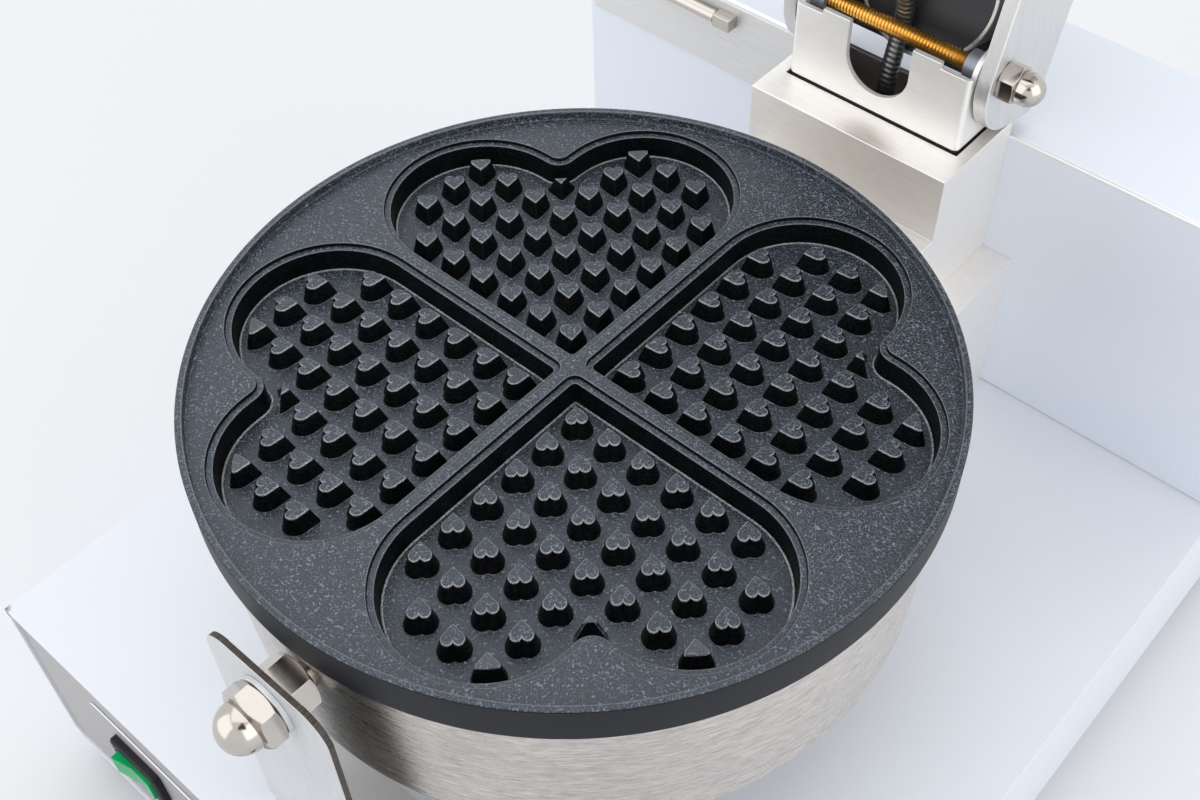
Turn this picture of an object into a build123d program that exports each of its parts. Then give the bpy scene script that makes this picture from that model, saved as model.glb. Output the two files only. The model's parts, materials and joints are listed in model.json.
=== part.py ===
from build123d import *
import os
from math import asin, cos, degrees, radians, sin, sqrt, tan

# Heart waffle maker, standing open: a sheet steel cabinet with a raised box at the back, a round
# cooking head on a tower, and a lid head like it on two arms that turn about a rod through the
# hinge bracket. Millimetres. The origin is on the table, straight below the middle of the lower
# plate, X to the right, Y to the back, Z up.

# Cabinet
foot_height = 12.0
foot_radius = 15.0
cabinet_height = 92.0
cabinet_width = 306.0
sheet = 1.5
corner_radius = 8.0
deck_margin = 25.0
rear_box_depth = 70.0
rear_box_height = 117.5
floor_flange = 36.0
housing_flange = 10.0
floor_sheet = 1.0
panel_inset = 1.0
vent_length = 34.0
vent_width = 4.0
vent_pitch = 14.0
vent_count = 9
floor_reach = 10.0
foot_inset = 20.0
foot_taper = 8.0

# Lower head on its tower
drum_above_deck = 50.0
drum_depth = 62.0
drum_taper = 2.7
drum_wall = 1.2
drum_bevel = 1.5
band_height = 14.0
plate_radius = 115.0
plate_overhang = 2.3
spigot_step = 9.0
spigot_depth = 8.0
edge_bevel = 0.6
pedestal_width = 103.0
pedestal_height = 66.0
pedestal_reach = 17.0
pedestal_wall = 2.0
tower_width = 79.0
tower_gap = 21.0
tower_depth = 42.0
tower_wall = 2.0
ledge_height = 32.0
slot_gap = 0.6
hose_hole_margin = 3.0
hose_lean = 4.3
tower_bolt_spacing = 45.5
tower_overlap = 20.0

# Cooking faces, where every heart has its tip towards the middle of the plate
lip_width = 2.2
lip_height = 3.2
nest_gap = 0.5
nest_clearance = 1.5
heart_reach = 101.8
lobe_width = 62.6
web_width = 3.5
web_corner = 3.5
cleft_corner = 4.0
step_depth = 1.3
ledge_width = 2.0
recess_depth = 8.8
wall_draft = 4.0
stud_pitch = 12.5
stud_start = 9.3
stud_size = 6.1
stud_lobe = 3.7
stud_height = 6.0
stud_draft = 10.0
stud_margin = 6.9

# Heating, in both heads
element_radius = 78.0
element_width = 8.0
element_height = 6.0
element_arc = 330.0
terminal_length = 14.0
terminal_margin = 2.0
terminal_diameter = 6.0
clamp_inner = 50.0
clamp_outer = 90.0
clamp_sheet = 2.5
clamp_notch = 56.0
wool_radius = 104.0
wool_height = 30.0
tie_circle = 60.0
tie_grip = 7.0
bolt_hex = 10.0
bolt_head = 4.0
wool_hole_play = 1.0

# Front bracket with its stud
stud_above_drum_foot = 42.0
stud_diameter = 10.0
stud_hex = 17.0
stud_head = 6.0
head_gap = 1.0
inner_nut_height = 9.0
bracket_sheet = 2.0
bracket_width = 50.0
bracket_above_stud = 13.5
bracket_corner = 10.0
bracket_foot = 27.0
washer_diameter = 20.0
washer_sheet = 1.6
acorn_hex_height = 6.5
acorn_neck = 1.0
acorn_dome = 8.0
foot_screw_spacing = 30.0

# Hinge
hinge_above_lip = 25.0
hinge_setback = 25.8
open_angle = 104.3
tower_top_drop = 27.0
hinge_front_setback = 14.5
hinge_bracket_width = 68.6
hinge_bracket_sheet = 2.0
ear_radius = 7.75
ear_shoulder = 11.0
web_rise = 2.0
tab_rise = 2.0
tab_start = 9.5
tab_end = 23.0
notch_width = 24.4
notch_floor_drop = 19.8
pin_diameter = 6.0
bush_diameter = 10.0
bush_length = 7.0
hinge_hex = 12.0
hinge_nut_height = 6.0
hinge_dome = 5.6
hinge_neck = 2.4
hinge_washer_diameter = 13.0
hinge_washer_sheet = 0.9

# Lid arms and what they carry
arm_thickness = 5.0
arm_play = 1.0
arm_below_pin = 9.3
arm_above_pin = 35.5
arm_front_corner = 23.0
arm_rear_corner = 7.0
arm_root = 20.0
stop_gap = 0.3
bridge_sheet = 3.0
bridge_drop = 2.0
bridge_tail = 19.0
cup_diameter = 52.0
cup_wall = 1.5
cup_offset = 14.0
cup_face = 11.4
buffer_thickness = 14.0
head_plate_sheet = 3.0
head_plate_foot = 3.0
head_bolt_spacing = 36.0

# Handle
handle_reach = 26.0
handle_bar = 6.0
handle_bar_width = 24.0
handle_foot = 40.0
handle_foot_corner = 4.0
handle_screw_spacing = 22.0
grip_length = 92.0
grip_radius = 15.0
handle_drop = 31.0

# Controls
control_width = 224.0
control_height = 58.0
control_sheet = 0.8
control_centre = 57.0
control_corner = 3.0
knob_spacing = 90.0
knob_height = 58.0
knob_radius = 19.0
knob_depth = 17.0
knob_gap = 0.6
knob_bevel = 1.2
knob_bore_depth = 12.0
knob_flutes = 12
flute_radius = 3.0
flute_offset = 1.2
pointer_width = 2.0
pointer_depth = 1.0
shaft_diameter = 6.0
collar_diameter = 9.0
collar_proud = 0.3
shaft_root = 16.0
thermostat_width = 38.0
thermostat_height = 34.0
thermostat_depth = 20.0
timer_width = 46.0
timer_height = 42.0
timer_depth = 28.0
switch_x = -88.0
switch_height = 66.0
bezel_width = 26.0
bezel_height = 20.0
bezel_corner = 2.0
bezel_bevel = 0.8
bezel_proud = 3.0
switch_body_width = 23.4
switch_body_height = 17.6
switch_body_depth = 20.0
rocker_length = 19.0
rocker_width = 11.0
rocker_rise = 7.2
rocker_waist = 6.0
rocker_back = 2.5
rocker_pivot = 5.0
rocker_tilt = 6.0
rocker_stub = 2.4
side_play = 0.3
end_play = 0.2
stub_length = 0.8

# Hose, strip and small metal
hose_diameter = 6.5
hose_x = -3.0
hose_gap = 0.3
hose_slack = 1.3
hose_lead_length = 22.0
hose_bend_drop = 24.0
hose_crest = 1.0
gland_diameter = 12.0
gland_length = 7.0
gland_flange = 2.0
gland_rise = 6.0
grommet_diameter = 14.0
grommet_lip = 2.0
grommet_rise = 2.0
grommet_grip = 1.0
strip_height = 31.0
strip_length = 110.0
strip_drop = 0.5
strip_bolt_length = 42.0
strip_bolt_diameter = 5.0
strip_bolt_end = 77.0
strip_bolt_drop = 6.5
strip_bolt_gap = 0.1
strip_bolt_end_length = 8.0
inlet_x = 110.0
inlet_height = 40.0
inlet_diameter = 16.0
inlet_bore = 8.0
inlet_flange = 3.0
inlet_neck = 10.0
inlet_root = 8.0
inlet_bore_depth = 9.0
block_length = 44.0
block_depth = 20.0
block_height = 18.0
block_aside = 45.0
block_ahead = 60.0
block_pitch = 13.0
block_mouth = 6.0
block_mouth_height = 8.0
block_mouth_depth = 7.0
screw_diameter = 6.0
wall_grip = 6.0
small_screw = 5.0
screw_head_radius = 4.5
screw_head = 3.0
screw_below_sheet = 5.0
tower_bolt_reach = 8.0
hole_play = 0.1
contour_gap = 0.3

# Heights above the table
deck_z = foot_height + cabinet_height
rear_top_z = deck_z + rear_box_height
drum_foot_z = deck_z + drum_above_deck
lip_z = drum_foot_z + drum_depth + band_height
hinge_z = lip_z + hinge_above_lip
tower_top_z = hinge_z - tower_top_drop
tower_foot_z = deck_z + pedestal_height
tower_floor_z = tower_foot_z + tower_wall
ledge_z = tower_foot_z + ledge_height
stud_z = drum_foot_z + stud_above_drum_foot
cabinet_floor_z = foot_height + sheet

# Places along the depth
cabinet_front_y = -(plate_radius + deck_margin)
panel_y = cabinet_front_y + panel_inset
control_y = panel_y - control_sheet
panel_back_y = panel_y + sheet
tower_front_y = plate_radius + tower_gap
rear_box_y = tower_front_y + tower_depth
cabinet_back_y = rear_box_y + rear_box_depth
hinge_y = tower_front_y + hinge_setback
hinge_front_y = tower_front_y + hinge_front_setback
tower_back_inner_y = rear_box_y - tower_wall
pedestal_front_y = tower_front_y - pedestal_reach

# Places across the width
half_width = cabinet_width / 2
flange_x = hinge_bracket_width / 2
arm_inner_x = flange_x + arm_play
arm_outer_x = arm_inner_x + arm_thickness

# The head's own heights, counted from the parting plane of the two plates
drum_radius = plate_radius - plate_overhang
drum_foot = -(band_height + drum_depth)
spigot_foot = -(band_height + spigot_depth)
element_foot = spigot_foot - element_height
clamp_foot = element_foot - clamp_sheet
wool_foot = drum_foot + drum_wall


def drum_radius_at(height):
    """Outer radius of a drum at a height counted from the parting plane, which is negative."""
    return drum_radius - drum_taper * (-height - band_height) / drum_depth


# Everything on the lid is drawn closed and turned back about the hinge rod as it stands open
to_open = Pos(0, hinge_y, hinge_z) * Rot(-open_angle, 0, 0) * Pos(0, -hinge_y, -hinge_z)
lower_seat = Location((0, 0, lip_z))
upper_seat = to_open * Pos(0, 0, lip_z) * Rot(180, 0, 0)


def front_plane(y):
    """Upright plane across the object at y, seen from the front."""
    return Plane.XZ.offset(-y)


def side_plane(x):
    """Upright plane along the depth at x, seen from the right."""
    return Plane.YZ.offset(x)


def level(z):
    return Plane.XY.offset(z)


def lid_plane(plane):
    """A plane of the closed lid, carried to where it stands with the lid open."""
    return Plane(to_open * plane.location)


def heart_outline(inset):
    """One heart from two round ended slots that cross at its tip, drawn in by inset."""
    side = web_width / 2 + inset
    width = lobe_width - 2 * inset
    lobe = heart_reach - inset - width / 2
    with BuildSketch() as heart:
        with Locations(((side + lobe) / 2, side + width / 2)):
            Rectangle(lobe - side, width)
        with Locations((lobe, side + width / 2)):
            Circle(width / 2)
        with Locations((side + width / 2, (side + lobe) / 2)):
            Rectangle(width, lobe - side)
        with Locations((side + width / 2, lobe)):
            Circle(width / 2)
        if inset < web_corner:
            tip = heart.vertices().sort_by_distance((side, side))[0]
            fillet(tip, web_corner - inset)
        cleft = heart.vertices().sort_by_distance((side + width, side + width))[0]
        fillet(cleft, cleft_corner + inset)
    return heart.sketch


def stud_outline(grow):
    """Small heart with its tip at the origin, drawn out by grow on every side."""
    near = -grow
    far = stud_size + grow
    lobe = stud_lobe + grow
    middle = (near + lobe) / 2
    shoulder = far - (lobe - near) * 0.3
    with BuildSketch() as outline:
        with BuildLine():
            Polyline(
                (near, near), (shoulder, near), (far, middle), (shoulder, lobe),
                (lobe, lobe), (lobe, shoulder), (middle, far), (near, shoulder), close=True
            )
        make_face()
    return outline.sketch


stud_spread = stud_height * tan(radians(stud_draft))

with BuildPart() as heart_stud:
    with BuildSketch():
        add(stud_outline(stud_spread))
    with BuildSketch(level(stud_height)):
        add(stud_outline(0))
    loft(ruled=True)

# The studs stand on a square grid and are trimmed where the heart's wall comes too near
stud_limit = heart_outline(stud_margin).face()
grid_count = int((heart_reach - stud_start) / stud_pitch)
grid = [stud_start + stud_pitch * index for index in range(grid_count)]
stud_places = [(x, y) for x in grid for y in grid if stud_limit.is_inside((x, y, 0))]

with BuildPart() as stud_trim:
    with BuildSketch():
        add(heart_outline(stud_margin - stud_spread))
    with BuildSketch(level(stud_height)):
        add(heart_outline(stud_margin))
    loft(ruled=True)

with BuildPart() as stud_field:
    with Locations(*stud_places):
        add(heart_stud.part)
    add(stud_trim.part, mode=Mode.INTERSECT)


def cooking_plate(rim, face):
    """Cast plate turned from the rim's profile, its face at the height face, with four hearts."""
    with BuildPart() as plate:
        with BuildSketch(Plane.XZ):
            with BuildLine():
                Polyline(*rim, close=True)
            make_face()
        revolve(axis=Axis.Z)
        with BuildSketch(level(face)):
            with PolarLocations(0, 4):
                add(heart_outline(0))
        extrude(amount=-step_depth, mode=Mode.SUBTRACT)
        with BuildSketch(level(face - step_depth)):
            with PolarLocations(0, 4):
                add(heart_outline(ledge_width))
        extrude(amount=step_depth - recess_depth, taper=wall_draft, mode=Mode.SUBTRACT)
        with Locations(level(face - recess_depth)):
            with PolarLocations(0, 4):
                add(stud_field.part)
        with BuildSketch(level(spigot_foot)):
            with PolarLocations(tie_circle, 4, start_angle=45):
                Circle(screw_diameter / 2 + hole_play)
        extrude(amount=tie_grip + 1, mode=Mode.SUBTRACT)
    return plate.part


def drum_shell():
    """Deep drawn pan below a plate, open towards it."""
    foot_radius_outer = drum_radius - drum_taper
    with BuildPart() as pan:
        with BuildSketch(Plane.XZ):
            with BuildLine():
                Polyline(
                    (0, drum_foot),
                    (foot_radius_outer - drum_bevel, drum_foot),
                    (foot_radius_outer, drum_foot + drum_bevel),
                    (drum_radius, -band_height),
                    (drum_radius - drum_wall, -band_height),
                    (foot_radius_outer - drum_wall, wool_foot + drum_bevel),
                    (foot_radius_outer - drum_wall - drum_bevel, wool_foot),
                    (0, wool_foot),
                    close=True
                )
            make_face()
        revolve(axis=Axis.Z)
        with BuildSketch(level(drum_foot)):
            with PolarLocations(tie_circle, 4, start_angle=45):
                Circle(screw_diameter / 2 + hole_play)
        extrude(amount=drum_wall, mode=Mode.SUBTRACT)
    return pan.part


def heating_ring():
    """Flat pressed tube bent to a ring with its two terminals turned away from the plate."""
    half_gap = (360 - element_arc) / 2
    end_angles = (90 - half_gap - terminal_margin, 90 + half_gap + terminal_margin)
    with BuildPart() as ring:
        start = Plane(origin=(0, 0, 0), x_dir=(-sin(radians(half_gap)), cos(radians(half_gap)), 0),
                      z_dir=(cos(radians(half_gap)), sin(radians(half_gap)), 0))
        with BuildSketch(start):
            with Locations((element_radius, element_foot + element_height / 2)):
                Rectangle(element_width, element_height)
        revolve(axis=Axis.Z, revolution_arc=element_arc)
        with BuildSketch(level(element_foot)):
            for angle in end_angles:
                with Locations((element_radius * cos(radians(angle)), element_radius * sin(radians(angle)))):
                    Circle(terminal_diameter / 2)
        extrude(amount=-terminal_length)
    return ring.part


def clamp_ring():
    """Steel ring that presses the element on the plate, notched at its terminals."""
    with BuildPart() as ring:
        with BuildSketch(level(clamp_foot)):
            Circle(clamp_outer)
            Circle(clamp_inner, mode=Mode.SUBTRACT)
            with Locations((0, clamp_outer)):
                Rectangle(clamp_notch, 2 * (clamp_outer - element_radius + element_width), mode=Mode.SUBTRACT)
            with PolarLocations(tie_circle, 4, start_angle=45):
                Circle(screw_diameter / 2 + hole_play, mode=Mode.SUBTRACT)
        extrude(amount=clamp_sheet)
    return ring.part


def wool_disc():
    """Pressed insulation that fills the foot of a drum."""
    with BuildPart() as disc:
        with BuildSketch(level(wool_foot)):
            Circle(wool_radius)
            with PolarLocations(tie_circle, 4, start_angle=45):
                Circle(screw_diameter / 2 + wool_hole_play, mode=Mode.SUBTRACT)
        extrude(amount=wool_height)
    return disc.part


def tie_bolts():
    """Four long bolts that draw drum, clamp ring and plate together."""
    with BuildPart() as bolts:
        with BuildSketch(level(drum_foot)):
            with PolarLocations(tie_circle, 4, start_angle=45):
                RegularPolygon(bolt_hex / 2, 6, major_radius=False)
        extrude(amount=-bolt_head)
        with BuildSketch(level(drum_foot)):
            with PolarLocations(tie_circle, 4, start_angle=45):
                Circle(screw_diameter / 2)
        extrude(amount=spigot_foot + tie_grip - drum_foot)
    return bolts.part


def drum_clearance(low, high, seat_z):
    """Cone a little wider than the lower drum between two heights of the object, to trim what meets it."""
    with BuildPart() as cone:
        with BuildSketch(Plane.XZ):
            with BuildLine():
                Polyline(
                    (0, low), (drum_radius_at(low - seat_z) + contour_gap, low),
                    (drum_radius_at(high - seat_z) + contour_gap, high), (0, high), close=True
                )
            make_face()
        revolve(axis=Axis.Z)
    return cone.part


os.makedirs("parts", exist_ok=True)

# Cabinet: one folded sheet with the deck on top, an open front and a flange round its floor
cabinet_depth = cabinet_back_y - cabinet_front_y
panel_half = half_width - sheet
hose_y = hinge_y + pin_diameter / 2 + hose_gap + hose_diameter / 2
wire_hole_y = hose_y - hose_lean

with BuildPart() as base_body:
    with BuildSketch(front_plane(cabinet_back_y)) as cabinet_end:
        with Locations((0, foot_height + cabinet_height / 2)):
            Rectangle(cabinet_width, cabinet_height)
        fillet(cabinet_end.vertices().group_by(Axis.Y)[0], corner_radius)
    extrude(amount=cabinet_depth)
    with BuildSketch(front_plane(cabinet_back_y - sheet)) as cabinet_inside:
        with Locations((0, foot_height + cabinet_height / 2)):
            Rectangle(cabinet_width - 2 * sheet, cabinet_height - 2 * sheet)
        fillet(cabinet_inside.vertices().group_by(Axis.Y)[0], corner_radius - sheet)
    extrude(amount=cabinet_depth, mode=Mode.SUBTRACT)
    with BuildSketch(level(foot_height)):
        with Locations((0, (cabinet_back_y + cabinet_front_y) / 2)):
            Rectangle(cabinet_width - 2 * floor_flange, cabinet_depth - 2 * floor_flange)
    extrude(amount=sheet, mode=Mode.SUBTRACT)
    with BuildSketch(level(deck_z)):
        with Locations((0, (rear_box_y + cabinet_back_y) / 2)):
            Rectangle(cabinet_width - 2 * floor_flange, rear_box_depth - 2 * housing_flange)
        with Locations((hose_x, wire_hole_y)):
            Circle(grommet_diameter / 2 + hose_hole_margin)
        with Locations((0, -drum_radius - inner_nut_height + bracket_foot / 2)):
            with GridLocations(foot_screw_spacing, 0, 2, 1):
                Circle(small_screw / 2 + hole_play)
    extrude(amount=-sheet, mode=Mode.SUBTRACT)
    with BuildSketch(front_plane(cabinet_back_y)):
        with Locations((0, foot_height + cabinet_height / 2)):
            with GridLocations(vent_pitch, 0, vent_count, 1):
                Rectangle(vent_width, vent_length)
        with Locations((inlet_x, foot_height + inlet_height)):
            Circle(inlet_diameter / 2)
    extrude(amount=sheet, mode=Mode.SUBTRACT)
base_body.part.label = "base_body"
export_step(base_body.part, "parts/base_body.step")

# Raised box behind the deck, open below, where its flange sits on the deck
with BuildPart() as rear_housing:
    with BuildSketch(level(deck_z)):
        with Locations((0, (rear_box_y + cabinet_back_y) / 2)):
            Rectangle(cabinet_width, rear_box_depth)
    extrude(amount=rear_box_height)
    with BuildSketch(level(deck_z + sheet)):
        with Locations((0, (rear_box_y + cabinet_back_y) / 2)):
            Rectangle(cabinet_width - 2 * sheet, rear_box_depth - 2 * sheet)
    extrude(amount=rear_box_height - 2 * sheet, mode=Mode.SUBTRACT)
    with BuildSketch(level(deck_z)):
        with Locations((0, (rear_box_y + cabinet_back_y) / 2)):
            Rectangle(cabinet_width - 2 * floor_flange, rear_box_depth - 2 * housing_flange)
    extrude(amount=sheet, mode=Mode.SUBTRACT)
    chamfer(rear_housing.edges().group_by(Axis.Z)[-1].filter_by(Axis.X), sheet / 2)
rear_housing.part.label = "rear_housing"
export_step(rear_housing.part, "parts/rear_housing.step")

# Floor of the cabinet with its air slots, lying on the flange
with BuildPart() as bottom_plate:
    with BuildSketch(level(cabinet_floor_z)):
        with Locations((0, (cabinet_back_y + cabinet_front_y) / 2)):
            Rectangle(cabinet_width - 2 * (floor_flange - floor_reach),
                      cabinet_depth - 2 * (floor_flange - floor_reach))
            with GridLocations(2 * vent_length, 2 * vent_pitch, 2, 5):
                Rectangle(1.5 * vent_length, vent_width, mode=Mode.SUBTRACT)
    extrude(amount=floor_sheet)
bottom_plate.part.label = "bottom_plate"
export_step(bottom_plate.part, "parts/bottom_plate.step")

# Four rubber feet under the corners of the flange
with BuildPart() as base_feet:
    with BuildSketch(level(foot_height)):
        with Locations((0, (cabinet_back_y + cabinet_front_y) / 2)):
            with GridLocations(cabinet_width - 2 * foot_inset, cabinet_depth - 2 * foot_inset, 2, 2):
                Circle(foot_radius)
    extrude(amount=-foot_height, taper=foot_taper)
base_feet.part.label = "base_feet"
export_step(base_feet.part, "parts/base_feet.step")

# Controls: their places across and up the front panel
knob_z = knob_height
switch_z = switch_height
thermostat_x = -knob_spacing / 2
timer_x = knob_spacing / 2

# Front panel, set back below the edge of the deck
with BuildPart() as front_panel:
    with BuildSketch(front_plane(panel_back_y)) as panel_outline:
        with Locations((0, foot_height + cabinet_height / 2)):
            Rectangle(2 * panel_half, cabinet_height - 2 * sheet)
        fillet(panel_outline.vertices().group_by(Axis.Y)[0], corner_radius - sheet)
        with Locations((switch_x, switch_z)):
            Rectangle(switch_body_width, switch_body_height, mode=Mode.SUBTRACT)
        with Locations((thermostat_x, knob_z), (timer_x, knob_z)):
            Circle(collar_diameter / 2, mode=Mode.SUBTRACT)
    extrude(amount=sheet)
front_panel.part.label = "front_panel"
export_step(front_panel.part, "parts/front_panel.step")

# Black plate behind the controls
with BuildPart() as control_plate:
    with BuildSketch(front_plane(panel_y)):
        with Locations((0, control_centre)):
            RectangleRounded(control_width, control_height, control_corner)
        with Locations((switch_x, switch_z)):
            Rectangle(switch_body_width, switch_body_height, mode=Mode.SUBTRACT)
        with Locations((thermostat_x, knob_z), (timer_x, knob_z)):
            Circle(collar_diameter / 2, mode=Mode.SUBTRACT)
    extrude(amount=control_sheet)
control_plate.part.label = "control_plate"
export_step(control_plate.part, "parts/control_plate.step")

# Switch: a bezel with its body through the panel, and the rocker on two stubs in it
bezel_y = control_y - bezel_proud
pivot_y = bezel_y + rocker_pivot
rocker_sweep = sqrt((rocker_length / 2) ** 2 + rocker_rise ** 2)
pocket_half = rocker_sweep * cos(asin(rocker_rise / rocker_sweep) - radians(rocker_tilt)) + end_play

with BuildPart() as switch_body:
    with BuildSketch(front_plane(control_y)):
        with Locations((switch_x, switch_z)):
            RectangleRounded(bezel_width, bezel_height, bezel_corner)
    extrude(amount=bezel_proud)
    chamfer(switch_body.faces().sort_by(Axis.Y)[0].edges(), bezel_bevel)
    with BuildSketch(front_plane(control_y)):
        with Locations((switch_x, switch_z)):
            Rectangle(switch_body_width, switch_body_height)
    extrude(amount=-switch_body_depth)
    with BuildSketch(front_plane(bezel_y)):
        with Locations((switch_x, switch_z)):
            Rectangle(2 * pocket_half, rocker_width + 2 * side_play)
    extrude(amount=-(rocker_pivot + rocker_rise), mode=Mode.SUBTRACT)
    with BuildSketch(level(switch_z - rocker_width / 2 - side_play - stub_length - hole_play)):
        with Locations((switch_x, pivot_y)):
            Circle(rocker_stub / 2 + hole_play)
    extrude(amount=rocker_width + 2 * (side_play + stub_length + hole_play), mode=Mode.SUBTRACT)
switch_body.part.label = "switch_body"
export_step(switch_body.part, "parts/switch_body.step")

rocker_plane = Plane(
    origin=(switch_x, pivot_y, switch_z - rocker_width / 2),
    x_dir=(cos(radians(rocker_tilt)), sin(radians(rocker_tilt)), 0), z_dir=(0, 0, 1)
)

with BuildPart() as rocker:
    with BuildSketch(rocker_plane):
        with BuildLine():
            half = rocker_length / 2
            Polyline((0, -rocker_waist), (half, -rocker_rise), (half, rocker_back),
                     (-half, rocker_back), (-half, -rocker_rise), close=True)
        make_face()
    extrude(amount=rocker_width)
    with BuildSketch(rocker_plane.offset(-side_play - stub_length)):
        Circle(rocker_stub / 2)
    extrude(amount=rocker_width + 2 * (side_play + stub_length))
rocker.part.label = "rocker"
export_step(rocker.part, "parts/rocker.step")


def control_body(x, width, height, depth):
    """Thermostat or timer behind the panel, with its collar through it and a bore for the shaft."""
    with BuildPart() as body:
        with BuildSketch(front_plane(panel_back_y)):
            with Locations((x, knob_z)):
                Rectangle(width, height)
        extrude(amount=-depth)
        with BuildSketch(front_plane(panel_back_y)):
            with Locations((x, knob_z)):
                Circle(collar_diameter / 2)
        extrude(amount=panel_back_y - control_y + collar_proud)
        with BuildSketch(front_plane(control_y - collar_proud)):
            with Locations((x, knob_z)):
                Circle(shaft_diameter / 2 + hole_play)
        extrude(amount=-shaft_root, mode=Mode.SUBTRACT)
    return body.part


def control_shaft(x):
    """Steel shaft from inside the control to the knob."""
    with BuildPart() as shaft:
        with BuildSketch(front_plane(control_y - collar_proud + shaft_root)):
            with Locations((x, knob_z)):
                Circle(shaft_diameter / 2)
        extrude(amount=shaft_root - collar_proud + knob_gap + knob_bore_depth)
    return shaft.part


def fluted_knob(x):
    """Fluted knob with a bevelled face, a pointer groove and a blind bore on the shaft."""
    with BuildPart() as knob:
        with BuildSketch(front_plane(control_y - knob_gap)):
            with Locations((x, knob_z)):
                Circle(knob_radius)
        extrude(amount=knob_depth)
        chamfer(knob.edges().filter_by(GeomType.CIRCLE).sort_by(Axis.Y)[0], knob_bevel)
        with BuildSketch(front_plane(control_y - knob_gap)):
            with Locations((x, knob_z)):
                with PolarLocations(knob_radius + flute_offset, knob_flutes, start_angle=180 / knob_flutes):
                    Circle(flute_radius)
        extrude(amount=knob_depth, mode=Mode.SUBTRACT)
        with BuildSketch(front_plane(control_y - knob_gap)):
            with Locations((x, knob_z)):
                Circle(shaft_diameter / 2)
        extrude(amount=knob_bore_depth, mode=Mode.SUBTRACT)
        with BuildSketch(front_plane(control_y - knob_gap - knob_depth + pointer_depth)):
            with Locations((x, knob_z + knob_radius / 2)):
                Rectangle(pointer_width, knob_radius)
        extrude(amount=pointer_depth, mode=Mode.SUBTRACT)
    return knob.part


thermostat = control_body(thermostat_x, thermostat_width, thermostat_height, thermostat_depth)
thermostat.label = "thermostat"
export_step(thermostat, "parts/thermostat.step")

thermostat_shaft = control_shaft(thermostat_x)
thermostat_shaft.label = "thermostat_shaft"
export_step(thermostat_shaft, "parts/thermostat_shaft.step")

thermostat_knob = fluted_knob(thermostat_x)
thermostat_knob.label = "thermostat_knob"
export_step(thermostat_knob, "parts/thermostat_knob.step")

timer = control_body(timer_x, timer_width, timer_height, timer_depth)
timer.label = "timer"
export_step(timer, "parts/timer.step")

timer_shaft = control_shaft(timer_x)
timer_shaft.label = "timer_shaft"
export_step(timer_shaft, "parts/timer_shaft.step")

timer_knob = fluted_knob(timer_x)
timer_knob.label = "timer_knob"
export_step(timer_knob, "parts/timer_knob.step")

# Gland for the mains lead in the back wall, its bore stopped at the wall
with BuildPart() as cable_gland:
    with BuildSketch(front_plane(cabinet_back_y + inlet_flange)):
        with Locations((inlet_x, foot_height + inlet_height)):
            RegularPolygon(inlet_diameter / 2 + inlet_flange, 6, major_radius=False)
    extrude(amount=inlet_flange)
    with BuildSketch(front_plane(cabinet_back_y + inlet_neck)):
        with Locations((inlet_x, foot_height + inlet_height)):
            Circle(inlet_diameter / 2 - sheet / 2)
    extrude(amount=inlet_neck)
    with BuildSketch(front_plane(cabinet_back_y)):
        with Locations((inlet_x, foot_height + inlet_height)):
            Circle(inlet_diameter / 2)
    extrude(amount=sheet + inlet_root)
    with BuildSketch(front_plane(cabinet_back_y + inlet_neck)):
        with Locations((inlet_x, foot_height + inlet_height)):
            Circle(inlet_bore / 2)
    extrude(amount=inlet_bore_depth, mode=Mode.SUBTRACT)
cable_gland.part.label = "cable_gland"
export_step(cable_gland.part, "parts/cable_gland.step")

# Block on the cabinet floor where the mains lead and the heads' wires meet
with BuildPart() as terminal_block:
    with BuildSketch(level(cabinet_floor_z + floor_sheet)):
        with Locations((inlet_x - block_aside, cabinet_back_y - block_ahead)):
            Rectangle(block_length, block_depth)
    extrude(amount=block_height)
    with BuildSketch(front_plane(cabinet_back_y - block_ahead + block_depth / 2)):
        with Locations((inlet_x - block_aside, cabinet_floor_z + floor_sheet + block_height / 2)):
            with GridLocations(block_pitch, 0, 3, 1):
                Rectangle(block_mouth, block_mouth_height)
    extrude(amount=block_mouth_depth, mode=Mode.SUBTRACT)
terminal_block.part.label = "terminal_block"
export_step(terminal_block.part, "parts/terminal_block.step")

# Pedestal: a hollow block on the deck, open below
pedestal_depth = rear_box_y - pedestal_front_y

with BuildPart() as pedestal:
    with BuildSketch(level(deck_z)):
        with Locations((0, pedestal_front_y + pedestal_depth / 2)):
            Rectangle(pedestal_width, pedestal_depth)
    extrude(amount=pedestal_height)
    fillet(pedestal.edges().filter_by(Axis.Z).group_by(Axis.Y)[0], 2)
    with BuildSketch(level(deck_z)):
        with Locations((0, pedestal_front_y + pedestal_depth / 2)):
            Rectangle(pedestal_width - 2 * pedestal_wall, pedestal_depth - 2 * pedestal_wall)
    extrude(amount=pedestal_height - pedestal_wall, mode=Mode.SUBTRACT)
    with BuildSketch(level(tower_foot_z)):
        with Locations((hose_x, wire_hole_y)):
            Circle(grommet_diameter / 2 + hose_hole_margin)
        with Locations((0, wire_hole_y)):
            with GridLocations(tower_bolt_spacing, 0, 2, 1):
                Circle(screw_diameter / 2 + hole_play)
    extrude(amount=-pedestal_wall, mode=Mode.SUBTRACT)
pedestal.part.label = "pedestal"
export_step(pedestal.part, "parts/pedestal.step")

# Tower: a hollow box with an arm forward to the lower drum, open on top behind a front strip
tower_root_y = drum_radius - tower_overlap
lip_cone = drum_clearance(tower_foot_z - 1, ledge_z + 1, lip_z)

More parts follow.
